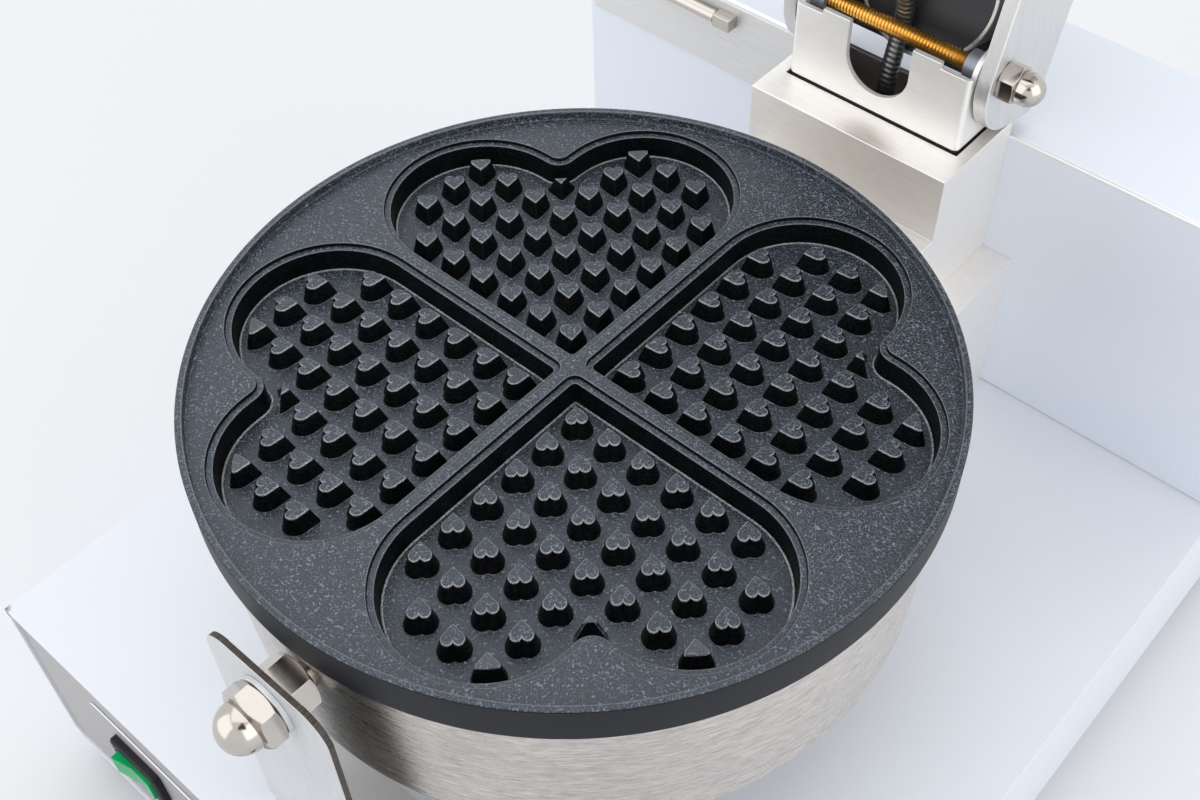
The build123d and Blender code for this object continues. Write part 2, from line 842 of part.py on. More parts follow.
with BuildPart() as tower:
    with BuildSketch(side_plane(-tower_width / 2)):
        with BuildLine():
            Polyline(
                (tower_root_y, tower_foot_z), (rear_box_y, tower_foot_z), (rear_box_y, tower_top_z),
                (tower_front_y, tower_top_z), (tower_front_y, ledge_z), (tower_root_y, ledge_z), close=True
            )
        make_face()
    extrude(amount=tower_width)
    with BuildSketch(side_plane(-tower_width / 2 + tower_wall)):
        with BuildLine():
            Polyline(
                (0, tower_floor_z), (tower_back_inner_y, tower_floor_z),
                (tower_back_inner_y, tower_top_z - tower_wall),
                (tower_front_y + tower_wall, tower_top_z - tower_wall),
                (tower_front_y + tower_wall, ledge_z - tower_wall), (0, ledge_z - tower_wall), close=True
            )
        make_face()
    extrude(amount=tower_width - 2 * tower_wall, mode=Mode.SUBTRACT)
    add(lip_cone, mode=Mode.SUBTRACT)
    with BuildSketch(level(tower_top_z)):
        with Locations((0, (hinge_front_y - slot_gap + tower_back_inner_y) / 2)):
            Rectangle(hinge_bracket_width + 2 * slot_gap, tower_back_inner_y - hinge_front_y + slot_gap)
    extrude(amount=-tower_wall, mode=Mode.SUBTRACT)
    with BuildSketch(level(tower_foot_z)):
        with Locations((hose_x, wire_hole_y)):
            Circle(grommet_diameter / 2)
        with Locations((0, wire_hole_y)):
            with GridLocations(tower_bolt_spacing, 0, 2, 1):
                Circle(screw_diameter / 2 + hole_play)
    extrude(amount=tower_wall, mode=Mode.SUBTRACT)
tower.part.label = "tower"
export_step(tower.part, "parts/tower.step")

# Two bolts that hold the tower on the pedestal
with BuildPart() as tower_bolts:
    with BuildSketch(level(tower_floor_z)):
        with Locations((0, wire_hole_y)):
            with GridLocations(tower_bolt_spacing, 0, 2, 1):
                RegularPolygon(bolt_hex / 2, 6, major_radius=False)
    extrude(amount=bolt_head)
    with BuildSketch(level(tower_floor_z)):
        with Locations((0, wire_hole_y)):
            with GridLocations(tower_bolt_spacing, 0, 2, 1):
                Circle(screw_diameter / 2)
    extrude(amount=-(tower_wall + pedestal_wall + tower_bolt_reach))
tower_bolts.part.label = "tower_bolts"
export_step(tower_bolts.part, "parts/tower_bolts.step")

# Rubber grommet round the hose in the tower's floor
with BuildPart() as tower_grommet:
    with BuildSketch(level(tower_foot_z)):
        with Locations((hose_x, wire_hole_y)):
            Circle(grommet_diameter / 2)
    extrude(amount=tower_wall)
    with BuildSketch(level(tower_floor_z)):
        with Locations((hose_x, wire_hole_y)):
            Circle(grommet_diameter / 2 + grommet_lip)
    extrude(amount=grommet_rise)
    with BuildSketch(level(tower_foot_z)):
        with Locations((hose_x, wire_hole_y)):
            Circle(hose_diameter / 2 - grommet_grip)
    extrude(amount=tower_wall + grommet_rise, mode=Mode.SUBTRACT)
tower_grommet.part.label = "tower_grommet"
export_step(tower_grommet.part, "parts/tower_grommet.step")

# Hinge bracket: a sheet folded to a U in plan, standing in the open top of the tower
bracket_depth = tower_back_inner_y - hinge_front_y
web_top_z = hinge_z + web_rise
tab_top_z = web_top_z + tab_rise
notch_floor_z = hinge_z - notch_floor_drop

with BuildPart() as hinge_bracket:
    with BuildSketch(level(tower_floor_z)) as fold:
        with Locations((0, hinge_front_y + bracket_depth / 2)):
            Rectangle(hinge_bracket_width, bracket_depth)
        fillet(fold.vertices().group_by(Axis.Y)[0], hinge_bracket_sheet)
        with Locations((0, hinge_front_y + bracket_depth / 2 + hinge_bracket_sheet)):
            Rectangle(hinge_bracket_width - 2 * hinge_bracket_sheet, bracket_depth, mode=Mode.SUBTRACT)
    extrude(amount=hinge_z + ear_radius - tower_floor_z)
    with BuildSketch(side_plane(-flange_x)) as ears:
        with Locations((hinge_y, hinge_z)):
            Circle(ear_radius)
        with Locations(((hinge_front_y + tower_back_inner_y) / 2, (tower_floor_z + hinge_z - ear_shoulder) / 2)):
            Rectangle(bracket_depth, hinge_z - ear_shoulder - tower_floor_z)
        make_hull()
        with Locations((hinge_front_y + hinge_bracket_sheet / 2, (tower_floor_z + tab_top_z) / 2)):
            Rectangle(hinge_bracket_sheet, tab_top_z - tower_floor_z)
    extrude(amount=hinge_bracket_width, mode=Mode.INTERSECT)
    with BuildSketch(front_plane(hinge_front_y)):
        with Locations((0, notch_floor_z + notch_width / 2)):
            Circle(notch_width / 2)
        with Locations((0, tab_top_z)):
            Rectangle(notch_width, 2 * (tab_top_z - notch_floor_z - notch_width / 2))
        for side in (-1, 1):
            with Locations((side * (tab_end + flange_x) / 2, web_top_z + tab_rise)):
                Rectangle(flange_x - tab_end, 2 * tab_rise)
    extrude(amount=-hinge_bracket_sheet, mode=Mode.SUBTRACT)
    with BuildSketch(side_plane(-flange_x)):
        with Locations((hinge_y, hinge_z)):
            Circle(bush_diameter / 2)
    extrude(amount=hinge_bracket_width, mode=Mode.SUBTRACT)
hinge_bracket.part.label = "hinge_bracket"
export_step(hinge_bracket.part, "parts/hinge_bracket.step")

# Steel bushes in the bracket's ears, on which the hinge rod turns
with BuildPart() as pin_bushes:
    for side in (-1, 1):
        with BuildSketch(side_plane(side * flange_x)):
            with Locations((hinge_y, hinge_z)):
                Circle(bush_diameter / 2)
                Circle(pin_diameter / 2 + hole_play / 2, mode=Mode.SUBTRACT)
        extrude(amount=-side * bush_length)
pin_bushes.part.label = "pin_bushes"
export_step(pin_bushes.part, "parts/pin_bushes.step")

# Front bracket: an upright laser cut sheet with its foot folded back on the deck
bracket_back_y = -(drum_radius + inner_nut_height)
bracket_front_y = bracket_back_y - bracket_sheet
bracket_top_z = stud_z + bracket_above_stud

with BuildPart() as front_bracket:
    with BuildSketch(side_plane(-bracket_width / 2)):
        with BuildLine():
            Polyline(
                (bracket_front_y, deck_z), (bracket_back_y + bracket_foot, deck_z),
                (bracket_back_y + bracket_foot, deck_z + bracket_sheet),
                (bracket_back_y, deck_z + bracket_sheet),
                (bracket_back_y, bracket_top_z), (bracket_front_y, bracket_top_z), close=True
            )
        make_face()
    extrude(amount=bracket_width)
    bends = front_bracket.edges().filter_by(Axis.X)
    fillet(bends.sort_by_distance((0, bracket_back_y, deck_z + bracket_sheet))[0], bracket_sheet)
    fillet(front_bracket.edges().filter_by(Axis.X).sort_by_distance((0, bracket_front_y, deck_z))[0],
           2 * bracket_sheet)
    fillet(front_bracket.edges().filter_by(Axis.Y).group_by(Axis.Z)[-1], bracket_corner)
    with BuildSketch(front_plane(bracket_back_y)):
        with Locations((0, stud_z)):
            Circle(stud_diameter / 2 + hole_play)
    extrude(amount=bracket_sheet, mode=Mode.SUBTRACT)
    with BuildSketch(level(deck_z)):
        with Locations((0, bracket_back_y + bracket_foot / 2)):
            with GridLocations(foot_screw_spacing, 0, 2, 1):
                Circle(small_screw / 2 + hole_play)
    extrude(amount=bracket_sheet, mode=Mode.SUBTRACT)
front_bracket.part.label = "front_bracket"
export_step(front_bracket.part, "parts/front_bracket.step")

with BuildPart() as bracket_screws:
    with BuildSketch(level(deck_z + bracket_sheet)):
        with Locations((0, bracket_back_y + bracket_foot / 2)):
            with GridLocations(foot_screw_spacing, 0, 2, 1):
                Circle(screw_head_radius)
    extrude(amount=screw_head, taper=15)
    with BuildSketch(level(deck_z + bracket_sheet)):
        with Locations((0, bracket_back_y + bracket_foot / 2)):
            with GridLocations(foot_screw_spacing, 0, 2, 1):
                Circle(small_screw / 2)
    extrude(amount=-(bracket_sheet + sheet + screw_below_sheet))
bracket_screws.part.label = "bracket_screws"
export_step(bracket_screws.part, "parts/bracket_screws.step")

# Stud through drum and bracket, its head inside the drum
head_y = -(drum_radius_at(stud_z - lip_z) - drum_wall - head_gap)
washer_y = bracket_front_y - washer_sheet

with BuildPart() as front_stud:
    with BuildSketch(front_plane(head_y + stud_head)):
        with Locations((0, stud_z)):
            RegularPolygon(stud_hex / 2, 6, major_radius=False)
    extrude(amount=stud_head)
    with BuildSketch(front_plane(head_y)):
        with Locations((0, stud_z)):
            Circle(stud_diameter / 2)
    extrude(amount=head_y - washer_y + acorn_hex_height + acorn_neck)
front_stud.part.label = "front_stud"
export_step(front_stud.part, "parts/front_stud.step")

with BuildPart() as inner_nut:
    with BuildSketch(front_plane(-drum_radius)):
        with Locations((0, stud_z)):
            RegularPolygon(stud_hex / 2, 6, major_radius=False)
            Circle(stud_diameter / 2, mode=Mode.SUBTRACT)
    extrude(amount=inner_nut_height)
inner_nut.part.label = "inner_nut"
export_step(inner_nut.part, "parts/inner_nut.step")

with BuildPart() as front_washer:
    with BuildSketch(front_plane(bracket_front_y)):
        with Locations((0, stud_z)):
            Circle(washer_diameter / 2)
            Circle(stud_diameter / 2, mode=Mode.SUBTRACT)
    extrude(amount=washer_sheet)
front_washer.part.label = "front_washer"
export_step(front_washer.part, "parts/front_washer.step")


def acorn(hexagon, hex_height, neck, dome, bore):
    """Acorn nut on the plane z = 0 with its dome upwards and a blind bore."""
    with BuildPart() as nut:
        with BuildSketch():
            RegularPolygon(hexagon / 2, 6, major_radius=False)
        extrude(amount=hex_height)
        with BuildSketch(Plane.XZ):
            with BuildLine():
                Line((0, hex_height), (dome, hex_height))
                Line((dome, hex_height), (dome, hex_height + neck))
                RadiusArc((dome, hex_height + neck), (0, hex_height + neck + dome), -dome)
                Line((0, hex_height + neck + dome), (0, hex_height))
            make_face()
        revolve(axis=Axis.Z)
        with BuildSketch():
            Circle(bore / 2)
        extrude(amount=hex_height + neck, mode=Mode.SUBTRACT)
    return nut.part


with BuildPart() as acorn_nut:
    with Locations(Location((0, washer_y, stud_z), (90, 0, 0))):
        add(acorn(stud_hex, acorn_hex_height, acorn_neck, acorn_dome, stud_diameter))
acorn_nut.part.label = "acorn_nut"
export_step(acorn_nut.part, "parts/acorn_nut.step")

# Lower head
with BuildPart() as lower_drum:
    with Locations(lower_seat):
        add(drum_shell())
    with BuildSketch(front_plane(-drum_radius + 2 * drum_taper)):
        with Locations((0, stud_z)):
            Circle(stud_diameter / 2 + hole_play)
    extrude(amount=2 * drum_taper + 1, mode=Mode.SUBTRACT)
lower_drum.part.label = "lower_drum"
export_step(lower_drum.part, "parts/lower_drum.step")

lip_inner = plate_radius - lip_width
band_inner = plate_radius - spigot_step
lower_rim = [
    (0, -lip_height), (lip_inner, -lip_height), (lip_inner, 0), (plate_radius - edge_bevel, 0),
    (plate_radius, -edge_bevel), (plate_radius, edge_bevel - band_height),
    (plate_radius - edge_bevel, -band_height), (band_inner, -band_height),
    (band_inner, spigot_foot), (0, spigot_foot)
]
nest_height = lip_height - nest_gap
nest_radius = lip_inner - nest_clearance
upper_rim = [
    (0, nest_height), (nest_radius, nest_height), (nest_radius, 0), (plate_radius - edge_bevel, 0),
    (plate_radius, -edge_bevel), (plate_radius, edge_bevel - band_height),
    (plate_radius - edge_bevel, -band_height), (band_inner, -band_height),
    (band_inner, spigot_foot), (0, spigot_foot)
]

with BuildPart() as lower_plate:
    with Locations(lower_seat):
        add(cooking_plate(lower_rim, -lip_height))
lower_plate.part.label = "lower_plate"
export_step(lower_plate.part, "parts/lower_plate.step")

with BuildPart() as lower_element:
    with Locations(lower_seat):
        add(heating_ring())
lower_element.part.label = "lower_element"
export_step(lower_element.part, "parts/lower_element.step")

with BuildPart() as lower_clamp:
    with Locations(lower_seat):
        add(clamp_ring())
lower_clamp.part.label = "lower_clamp"
export_step(lower_clamp.part, "parts/lower_clamp.step")

with BuildPart() as lower_insulation:
    with Locations(lower_seat):
        add(wool_disc())
lower_insulation.part.label = "lower_insulation"
export_step(lower_insulation.part, "parts/lower_insulation.step")

with BuildPart() as lower_tie_bolts:
    with Locations(lower_seat):
        add(tie_bolts())
lower_tie_bolts.part.label = "lower_tie_bolts"
export_step(lower_tie_bolts.part, "parts/lower_tie_bolts.step")

# Upper head, the same pieces turned over on the lid
bridge_top_z = hinge_z + arm_above_pin - bridge_drop
bridge_foot_z = bridge_top_z - bridge_sheet
head_plate_z = hinge_z + head_plate_foot
head_bolt_z = (head_plate_z + bridge_foot_z) / 2
gland_z = lip_z + band_height + gland_rise
handle_z = lip_z + band_height + handle_drop

with BuildPart() as upper_drum:
    with Locations(upper_seat):
        add(drum_shell())
    with BuildSketch(lid_plane(front_plane(drum_radius))):
        with Locations((0, head_bolt_z)):
            with GridLocations(head_bolt_spacing, 0, 2, 1):
                Circle(screw_diameter / 2 + hole_play)
        with Locations((hose_x, gland_z)):
            Circle(hose_diameter / 2)
    extrude(amount=4 * drum_taper, mode=Mode.SUBTRACT)
    with BuildSketch(lid_plane(front_plane(-drum_radius + 2 * drum_taper))):
        with Locations((0, handle_z)):
            with GridLocations(handle_screw_spacing, 0, 2, 1):
                Circle(small_screw / 2 + hole_play)
    extrude(amount=3 * drum_taper, mode=Mode.SUBTRACT)
upper_drum.part.label = "upper_drum"
export_step(upper_drum.part, "parts/upper_drum.step")

with BuildPart() as upper_plate:
    with Locations(upper_seat):
        add(cooking_plate(upper_rim, nest_height))
upper_plate.part.label = "upper_plate"
export_step(upper_plate.part, "parts/upper_plate.step")

with BuildPart() as upper_element:
    with Locations(upper_seat):
        add(heating_ring())
upper_element.part.label = "upper_element"
export_step(upper_element.part, "parts/upper_element.step")

with BuildPart() as upper_clamp:
    with Locations(upper_seat):
        add(clamp_ring())
upper_clamp.part.label = "upper_clamp"
export_step(upper_clamp.part, "parts/upper_clamp.step")

with BuildPart() as upper_insulation:
    with Locations(upper_seat):
        add(wool_disc())
upper_insulation.part.label = "upper_insulation"
export_step(upper_insulation.part, "parts/upper_insulation.step")

with BuildPart() as upper_tie_bolts:
    with Locations(upper_seat):
        add(tie_bolts())
upper_tie_bolts.part.label = "upper_tie_bolts"
export_step(upper_tie_bolts.part, "parts/upper_tie_bolts.step")

# Hinge rod with its washers and acorn nuts
pin_reach = arm_outer_x + hinge_nut_height + hinge_neck

with BuildPart() as hinge_pin:
    with BuildSketch(side_plane(-pin_reach)):
        with Locations((hinge_y, hinge_z)):
            Circle(pin_diameter / 2)
    extrude(amount=2 * pin_reach)
hinge_pin.part.label = "hinge_pin"
export_step(hinge_pin.part, "parts/hinge_pin.step")

with BuildPart() as hinge_washers:
    for side in (-1, 1):
        with BuildSketch(side_plane(side * arm_inner_x)):
            with Locations((hinge_y, hinge_z)):
                Circle(hinge_washer_diameter / 2)
                Circle(pin_diameter / 2, mode=Mode.SUBTRACT)
        extrude(amount=-side * hinge_washer_sheet)
hinge_washers.part.label = "hinge_washers"
export_step(hinge_washers.part, "parts/hinge_washers.step")

with BuildPart() as hinge_nuts:
    for side in (-1, 1):
        with Locations(Location((side * arm_outer_x, hinge_y, hinge_z), (0, side * 90, 0))):
            add(acorn(hinge_hex, hinge_nut_height, hinge_neck, hinge_dome, pin_diameter))
hinge_nuts.part.label = "hinge_nuts"
export_step(hinge_nuts.part, "parts/hinge_nuts.step")

# Arms: their tails stop on the rear edge of the tower when the lid is open
forward_open = (-cos(radians(open_angle)), sin(radians(open_angle)))
tail_length = -(
    (rear_box_y - hinge_y) * forward_open[0] - tower_top_drop * forward_open[1]
) - stop_gap
arm_height = arm_below_pin + arm_above_pin
arm_start_y = drum_radius - arm_root
upper_cone_low = lip_z + band_height
upper_cone_high = lip_z + band_height + drum_depth

with BuildPart() as upper_clearance:
    with BuildSketch(Plane.XZ):
        with BuildLine():
            Polyline(
                (0, upper_cone_low), (drum_radius + contour_gap, upper_cone_low),
                (drum_radius - drum_taper + contour_gap, upper_cone_high), (0, upper_cone_high), close=True
            )
        make_face()
    revolve(axis=Axis.Z)


def lid_arm(side):
    """Flat arm drawn closed beside the bracket, its front end trimmed to the upper drum."""
    with BuildPart() as arm:
        with BuildSketch(side_plane(side * arm_inner_x)) as outline:
            with Locations(((arm_start_y + hinge_y + tail_length) / 2,
                            hinge_z - arm_below_pin + arm_height / 2)):
                Rectangle(hinge_y + tail_length - arm_start_y, arm_height)
            fillet(outline.vertices().group_by(Axis.X)[-1].sort_by(Axis.Y)[0], arm_front_corner)
            fillet(outline.vertices().group_by(Axis.X)[-1].sort_by(Axis.Y)[-1], arm_rear_corner)
            with Locations((hinge_y, hinge_z)):
                Circle(pin_diameter / 2, mode=Mode.SUBTRACT)
        extrude(amount=side * arm_thickness)
        add(upper_clearance.part, mode=Mode.SUBTRACT)
    return arm.part


with BuildPart() as left_arm:
    with Locations(to_open):
        add(lid_arm(-1))
left_arm.part.label = "left_arm"
export_step(left_arm.part, "parts/left_arm.step")

with BuildPart() as right_arm:
    with Locations(to_open):
        add(lid_arm(1))
right_arm.part.label = "right_arm"
export_step(right_arm.part, "parts/right_arm.step")

# Cross plate between the arms, near their rear edge when open
bridge_front_y = drum_radius + head_plate_foot

with BuildPart() as arm_bridge:
    with BuildSketch(lid_plane(level(bridge_foot_z))):
        with Locations((0, (bridge_front_y + hinge_y + bridge_tail) / 2)):
            Rectangle(2 * arm_inner_x, hinge_y + bridge_tail - bridge_front_y)
    extrude(amount=bridge_sheet)
arm_bridge.part.label = "arm_bridge"
export_step(arm_bridge.part, "parts/arm_bridge.step")

# Round steel cup with a black disc in it, below the cross plate
cup_y = hinge_y - cup_offset
cup_face_z = hinge_z + cup_face

with BuildPart() as buffer_cup:
    with BuildSketch(lid_plane(level(cup_face_z))):
        with Locations((0, cup_y)):
            Circle(cup_diameter / 2)
    extrude(amount=bridge_foot_z - cup_face_z)
    with BuildSketch(lid_plane(level(cup_face_z))):
        with Locations((0, cup_y)):
            Circle(cup_diameter / 2 - cup_wall)
    extrude(amount=buffer_thickness, mode=Mode.SUBTRACT)
buffer_cup.part.label = "buffer_cup"
export_step(buffer_cup.part, "parts/buffer_cup.step")

with BuildPart() as lid_buffer:
    with BuildSketch(lid_plane(level(cup_face_z))):
        with Locations((0, cup_y)):
            Circle(cup_diameter / 2 - cup_wall)
    extrude(amount=buffer_thickness)
lid_buffer.part.label = "lid_buffer"
export_step(lid_buffer.part, "parts/lid_buffer.step")

# Plate between the arms that is bolted to the rear of the upper drum
plate_face_y = drum_radius + contour_gap

with BuildPart() as head_plate:
    with BuildSketch(lid_plane(front_plane(plate_face_y + head_plate_sheet))):
        with Locations((0, head_bolt_z)):
            Rectangle(2 * arm_inner_x, bridge_foot_z - head_plate_z)
            with GridLocations(head_bolt_spacing, 0, 2, 1):
                Circle(screw_diameter / 2 + hole_play, mode=Mode.SUBTRACT)
    extrude(amount=head_plate_sheet)
head_plate.part.label = "head_plate"
export_step(head_plate.part, "parts/head_plate.step")

with BuildPart() as head_bolts:
    with BuildSketch(lid_plane(front_plane(plate_face_y + head_plate_sheet + bolt_head))):
        with Locations((0, head_bolt_z)):
            with GridLocations(head_bolt_spacing, 0, 2, 1):
                RegularPolygon(bolt_hex / 2, 6, major_radius=False)
    extrude(amount=bolt_head)
    with BuildSketch(lid_plane(front_plane(plate_face_y + head_plate_sheet))):
        with Locations((0, head_bolt_z)):
            with GridLocations(head_bolt_spacing, 0, 2, 1):
                Circle(screw_diameter / 2)
    extrude(amount=head_plate_sheet + wall_grip)
head_bolts.part.label = "head_bolts"
export_step(head_bolts.part, "parts/head_bolts.step")

# Handle: a flat bracket on the front of the upper drum and a grip on it
handle_face_y = -(drum_radius + contour_gap)

with BuildPart() as handle_bracket:
    with BuildSketch(lid_plane(front_plane(handle_face_y))):
        with Locations((0, handle_z)):
            RectangleRounded(handle_foot, handle_bar_width, handle_foot_corner)
            with GridLocations(handle_screw_spacing, 0, 2, 1):
                Circle(small_screw / 2 + hole_play, mode=Mode.SUBTRACT)
    extrude(amount=head_plate_sheet)
    with BuildSketch(lid_plane(front_plane(handle_face_y - head_plate_sheet))):
        with Locations((0, handle_z)):
            Circle(handle_bar)
    extrude(amount=handle_reach - head_plate_sheet)
    with BuildSketch(lid_plane(front_plane(handle_face_y - handle_reach))):
        with Locations((0, handle_z)):
            Circle(handle_bar / 2)
    extrude(amount=grip_length / 2)
handle_bracket.part.label = "handle_bracket"
export_step(handle_bracket.part, "parts/handle_bracket.step")

grip_base = lid_plane(front_plane(handle_face_y - handle_reach))

with BuildPart() as handle_grip:
    with BuildSketch(Plane.XZ):
        with BuildLine():
            Line((handle_bar / 2, 0), (grip_radius - 3, 0))
            Spline(
                (grip_radius - 3, 0), (grip_radius, grip_length * 0.3),
                (grip_radius - 2.5, grip_length * 0.65), (grip_radius - 1, grip_length - grip_radius)
            )
            Spline((grip_radius - 1, grip_length - grip_radius), (grip_radius * 0.62, grip_length - 4), (0, grip_length))
            Polyline(
                (0, grip_length), (0, grip_length / 2), (handle_bar / 2, grip_length / 2), (handle_bar / 2, 0)
            )
        make_face()
    revolve(axis=Axis.Z)
grip_place = grip_base.location * Pos(0, handle_z, 0)
with BuildPart() as handle_grip_placed:
    with Locations(grip_place):
        add(handle_grip.part)
handle_grip_placed.part.label = "handle_grip"
export_step(handle_grip_placed.part, "parts/handle_grip.step")

with BuildPart() as handle_screws:
    with BuildSketch(lid_plane(front_plane(handle_face_y - head_plate_sheet))):
        with Locations((0, handle_z)):
            with GridLocations(handle_screw_spacing, 0, 2, 1):
                Circle(screw_head_radius)
    extrude(amount=screw_head)
    with BuildSketch(lid_plane(front_plane(handle_face_y - head_plate_sheet))):
        with Locations((0, handle_z)):
            with GridLocations(handle_screw_spacing, 0, 2, 1):
                Circle(small_screw / 2)
    extrude(amount=-(head_plate_sheet + wall_grip))
handle_screws.part.label = "handle_screws"
export_step(handle_screws.part, "parts/handle_screws.step")

# Gland of the hose in the rear wall of the upper drum
gland_wall_y = drum_radius_at(-(gland_rise + band_height))

with BuildPart() as hose_gland:
    with BuildSketch(lid_plane(front_plane(gland_wall_y + gland_length))):
        with Locations((hose_x, gland_z)):
            Circle(gland_diameter / 2)
    extrude(amount=gland_length - contour_gap)
    with BuildSketch(lid_plane(front_plane(gland_wall_y + gland_length))):
        with Locations((hose_x, gland_z)):
            Circle(hose_diameter / 2)
    extrude(amount=gland_length - gland_flange, mode=Mode.SUBTRACT)
hose_gland.part.label = "hose_gland"
export_step(hose_gland.part, "parts/hose_gland.step")

# Flexible hose with the lid's wires, from the tower behind the hinge rod to the lid
hose_end = to_open * Pos(hose_x, gland_wall_y + gland_flange, gland_z)
hose_lead = to_open * Pos(hose_x, gland_wall_y + gland_flange + hose_lead_length, gland_z)
hose_route = [
    (wire_hole_y, tower_floor_z + grommet_rise),
    (wire_hole_y, hinge_z - hose_bend_drop),
    (hose_y + hose_slack, hinge_z + hose_crest),
    (hose_lead.position.Y, hose_lead.position.Z),
    (hose_end.position.Y, hose_end.position.Z)
]


def bend_radii(route):
    """Widest bend at each inner point of a route that leaves straight stretches beside it."""
    radii = []
    for before, here, after in zip(route, route[1:], route[2:]):
        first = Vector(*here) - Vector(*before)
        second = Vector(*after) - Vector(*here)
        turn = radians(first.get_angle(second))
        radii.append(0.45 * min(first.length, second.length) / tan(turn / 2))
    return radii


hose_radii = bend_radii(hose_route)
print("hose bends", [round(radius, 1) for radius in hose_radii])

with BuildPart() as conduit:
    with BuildLine(side_plane(hose_x)) as hose_line:
        FilletPolyline(*hose_route, radius=hose_radii)
    with BuildSketch(Plane(origin=hose_line.line @ 0, z_dir=hose_line.line % 0)):
        Circle(hose_diameter / 2)
    sweep()
conduit.part.label = "conduit"
export_step(conduit.part, "parts/conduit.step")

# Flat strip on the face of the raised box, left of the tower, and the bolt that lies on it
strip_z = rear_top_z - strip_drop - strip_height / 2
strip_bolt_y = rear_box_y - sheet - strip_bolt_diameter / 2 - strip_bolt_gap
strip_bolt_z = rear_top_z - strip_bolt_drop

with BuildPart() as rear_strip:
    with BuildSketch(front_plane(rear_box_y)):
        with Locations((-(tower_width + strip_length) / 2, strip_z)):
            Rectangle(strip_length, strip_height)
    extrude(amount=sheet)
rear_strip.part.label = "rear_strip"
export_step(rear_strip.part, "parts/rear_strip.step")

with BuildPart() as strip_bolt:
    with BuildSketch(side_plane(-strip_bolt_end)):
        with Locations((strip_bolt_y, strip_bolt_z)):
            Circle(strip_bolt_diameter / 2)
    extrude(amount=-strip_bolt_length)
    with BuildSketch(side_plane(-strip_bolt_end)):
        with Locations((strip_bolt_y, strip_bolt_z)):
            Rectangle(strip_bolt_diameter + 2 * strip_bolt_gap, strip_bolt_diameter + 2 * strip_bolt_gap)
    extrude(amount=-strip_bolt_end_length)
strip_bolt.part.label = "strip_bolt"
export_step(strip_bolt.part, "parts/strip_bolt.step")
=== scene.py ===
import bpy
import bmesh
import json
from math import acos, cos, degrees, hypot, pi, radians, sin, sqrt, tan
from mathutils import Matrix, Vector


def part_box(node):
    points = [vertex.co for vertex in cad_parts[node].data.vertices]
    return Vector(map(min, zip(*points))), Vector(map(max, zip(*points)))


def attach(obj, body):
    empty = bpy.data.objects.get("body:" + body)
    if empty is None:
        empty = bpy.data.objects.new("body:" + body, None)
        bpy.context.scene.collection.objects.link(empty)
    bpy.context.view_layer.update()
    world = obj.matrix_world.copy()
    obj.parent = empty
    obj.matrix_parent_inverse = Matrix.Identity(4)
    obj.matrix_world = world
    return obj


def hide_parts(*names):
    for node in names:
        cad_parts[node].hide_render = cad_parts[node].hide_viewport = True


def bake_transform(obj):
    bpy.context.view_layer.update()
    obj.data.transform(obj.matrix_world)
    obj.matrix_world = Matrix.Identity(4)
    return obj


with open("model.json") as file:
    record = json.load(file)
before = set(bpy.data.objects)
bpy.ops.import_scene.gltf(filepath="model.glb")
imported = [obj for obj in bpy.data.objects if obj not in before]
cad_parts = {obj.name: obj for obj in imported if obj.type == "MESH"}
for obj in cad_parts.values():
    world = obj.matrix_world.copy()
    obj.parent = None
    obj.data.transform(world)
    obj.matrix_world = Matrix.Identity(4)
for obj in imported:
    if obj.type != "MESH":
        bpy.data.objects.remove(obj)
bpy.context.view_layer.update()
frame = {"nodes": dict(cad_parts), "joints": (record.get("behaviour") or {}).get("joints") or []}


# Camera: it stands at the front right of the appliance and looks steeply down on the lower plate,
# as the photograph does. The lens is a normal lens on a full frame.
MM = 0.001
camera_place = Vector((202.66, -206.94, 552.86)) * MM
camera_right = Vector((0.748526, 0.662787, -0.020546))
camera_up = Vector((-0.496144, 0.580345, 0.645787))
camera_back = camera_right.cross(camera_up)
lens_length = 44.60
sensor_width = 36.0
nearest_sight = 20 * MM

camera_data = bpy.data.cameras.new("photo_camera")
camera_data.sensor_width = sensor_width
camera_data.lens = lens_length
camera_data.clip_start = nearest_sight
camera = bpy.data.objects.new("photo_camera", camera_data)
bpy.context.scene.collection.objects.link(camera)
camera_turn = Matrix((camera_right, camera_up, camera_back)).transposed()
camera.matrix_world = Matrix.Translation(camera_place) @ camera_turn.to_4x4()
bpy.context.scene.camera = camera
bpy.context.scene.view_settings.view_transform = "Standard"


# Studio: a white table, a white surround and three large soft lamps. The surround is white to the
# camera and in reflections, and dimmer where it lights the appliance.
class Value:
    """A number that varies over a surface, so that sums of such numbers are plain expressions."""

    def __init__(self, nodes, socket):
        self.nodes = nodes
        self.socket = socket

    def __add__(self, other):
        return self.nodes.math("ADD", self, other)

    def __radd__(self, other):
        return self.nodes.math("ADD", other, self)

    def __sub__(self, other):
        return self.nodes.math("SUBTRACT", self, other)

    def __rsub__(self, other):
        return self.nodes.math("SUBTRACT", other, self)

    def __mul__(self, other):
        return self.nodes.math("MULTIPLY", self, other)

    def __rmul__(self, other):
        return self.nodes.math("MULTIPLY", other, self)

    def __truediv__(self, other):
        return self.nodes.math("DIVIDE", self, other)

    def __rtruediv__(self, other):
        return self.nodes.math("DIVIDE", other, self)

    def __gt__(self, other):
        return self.nodes.math("GREATER_THAN", self, other)


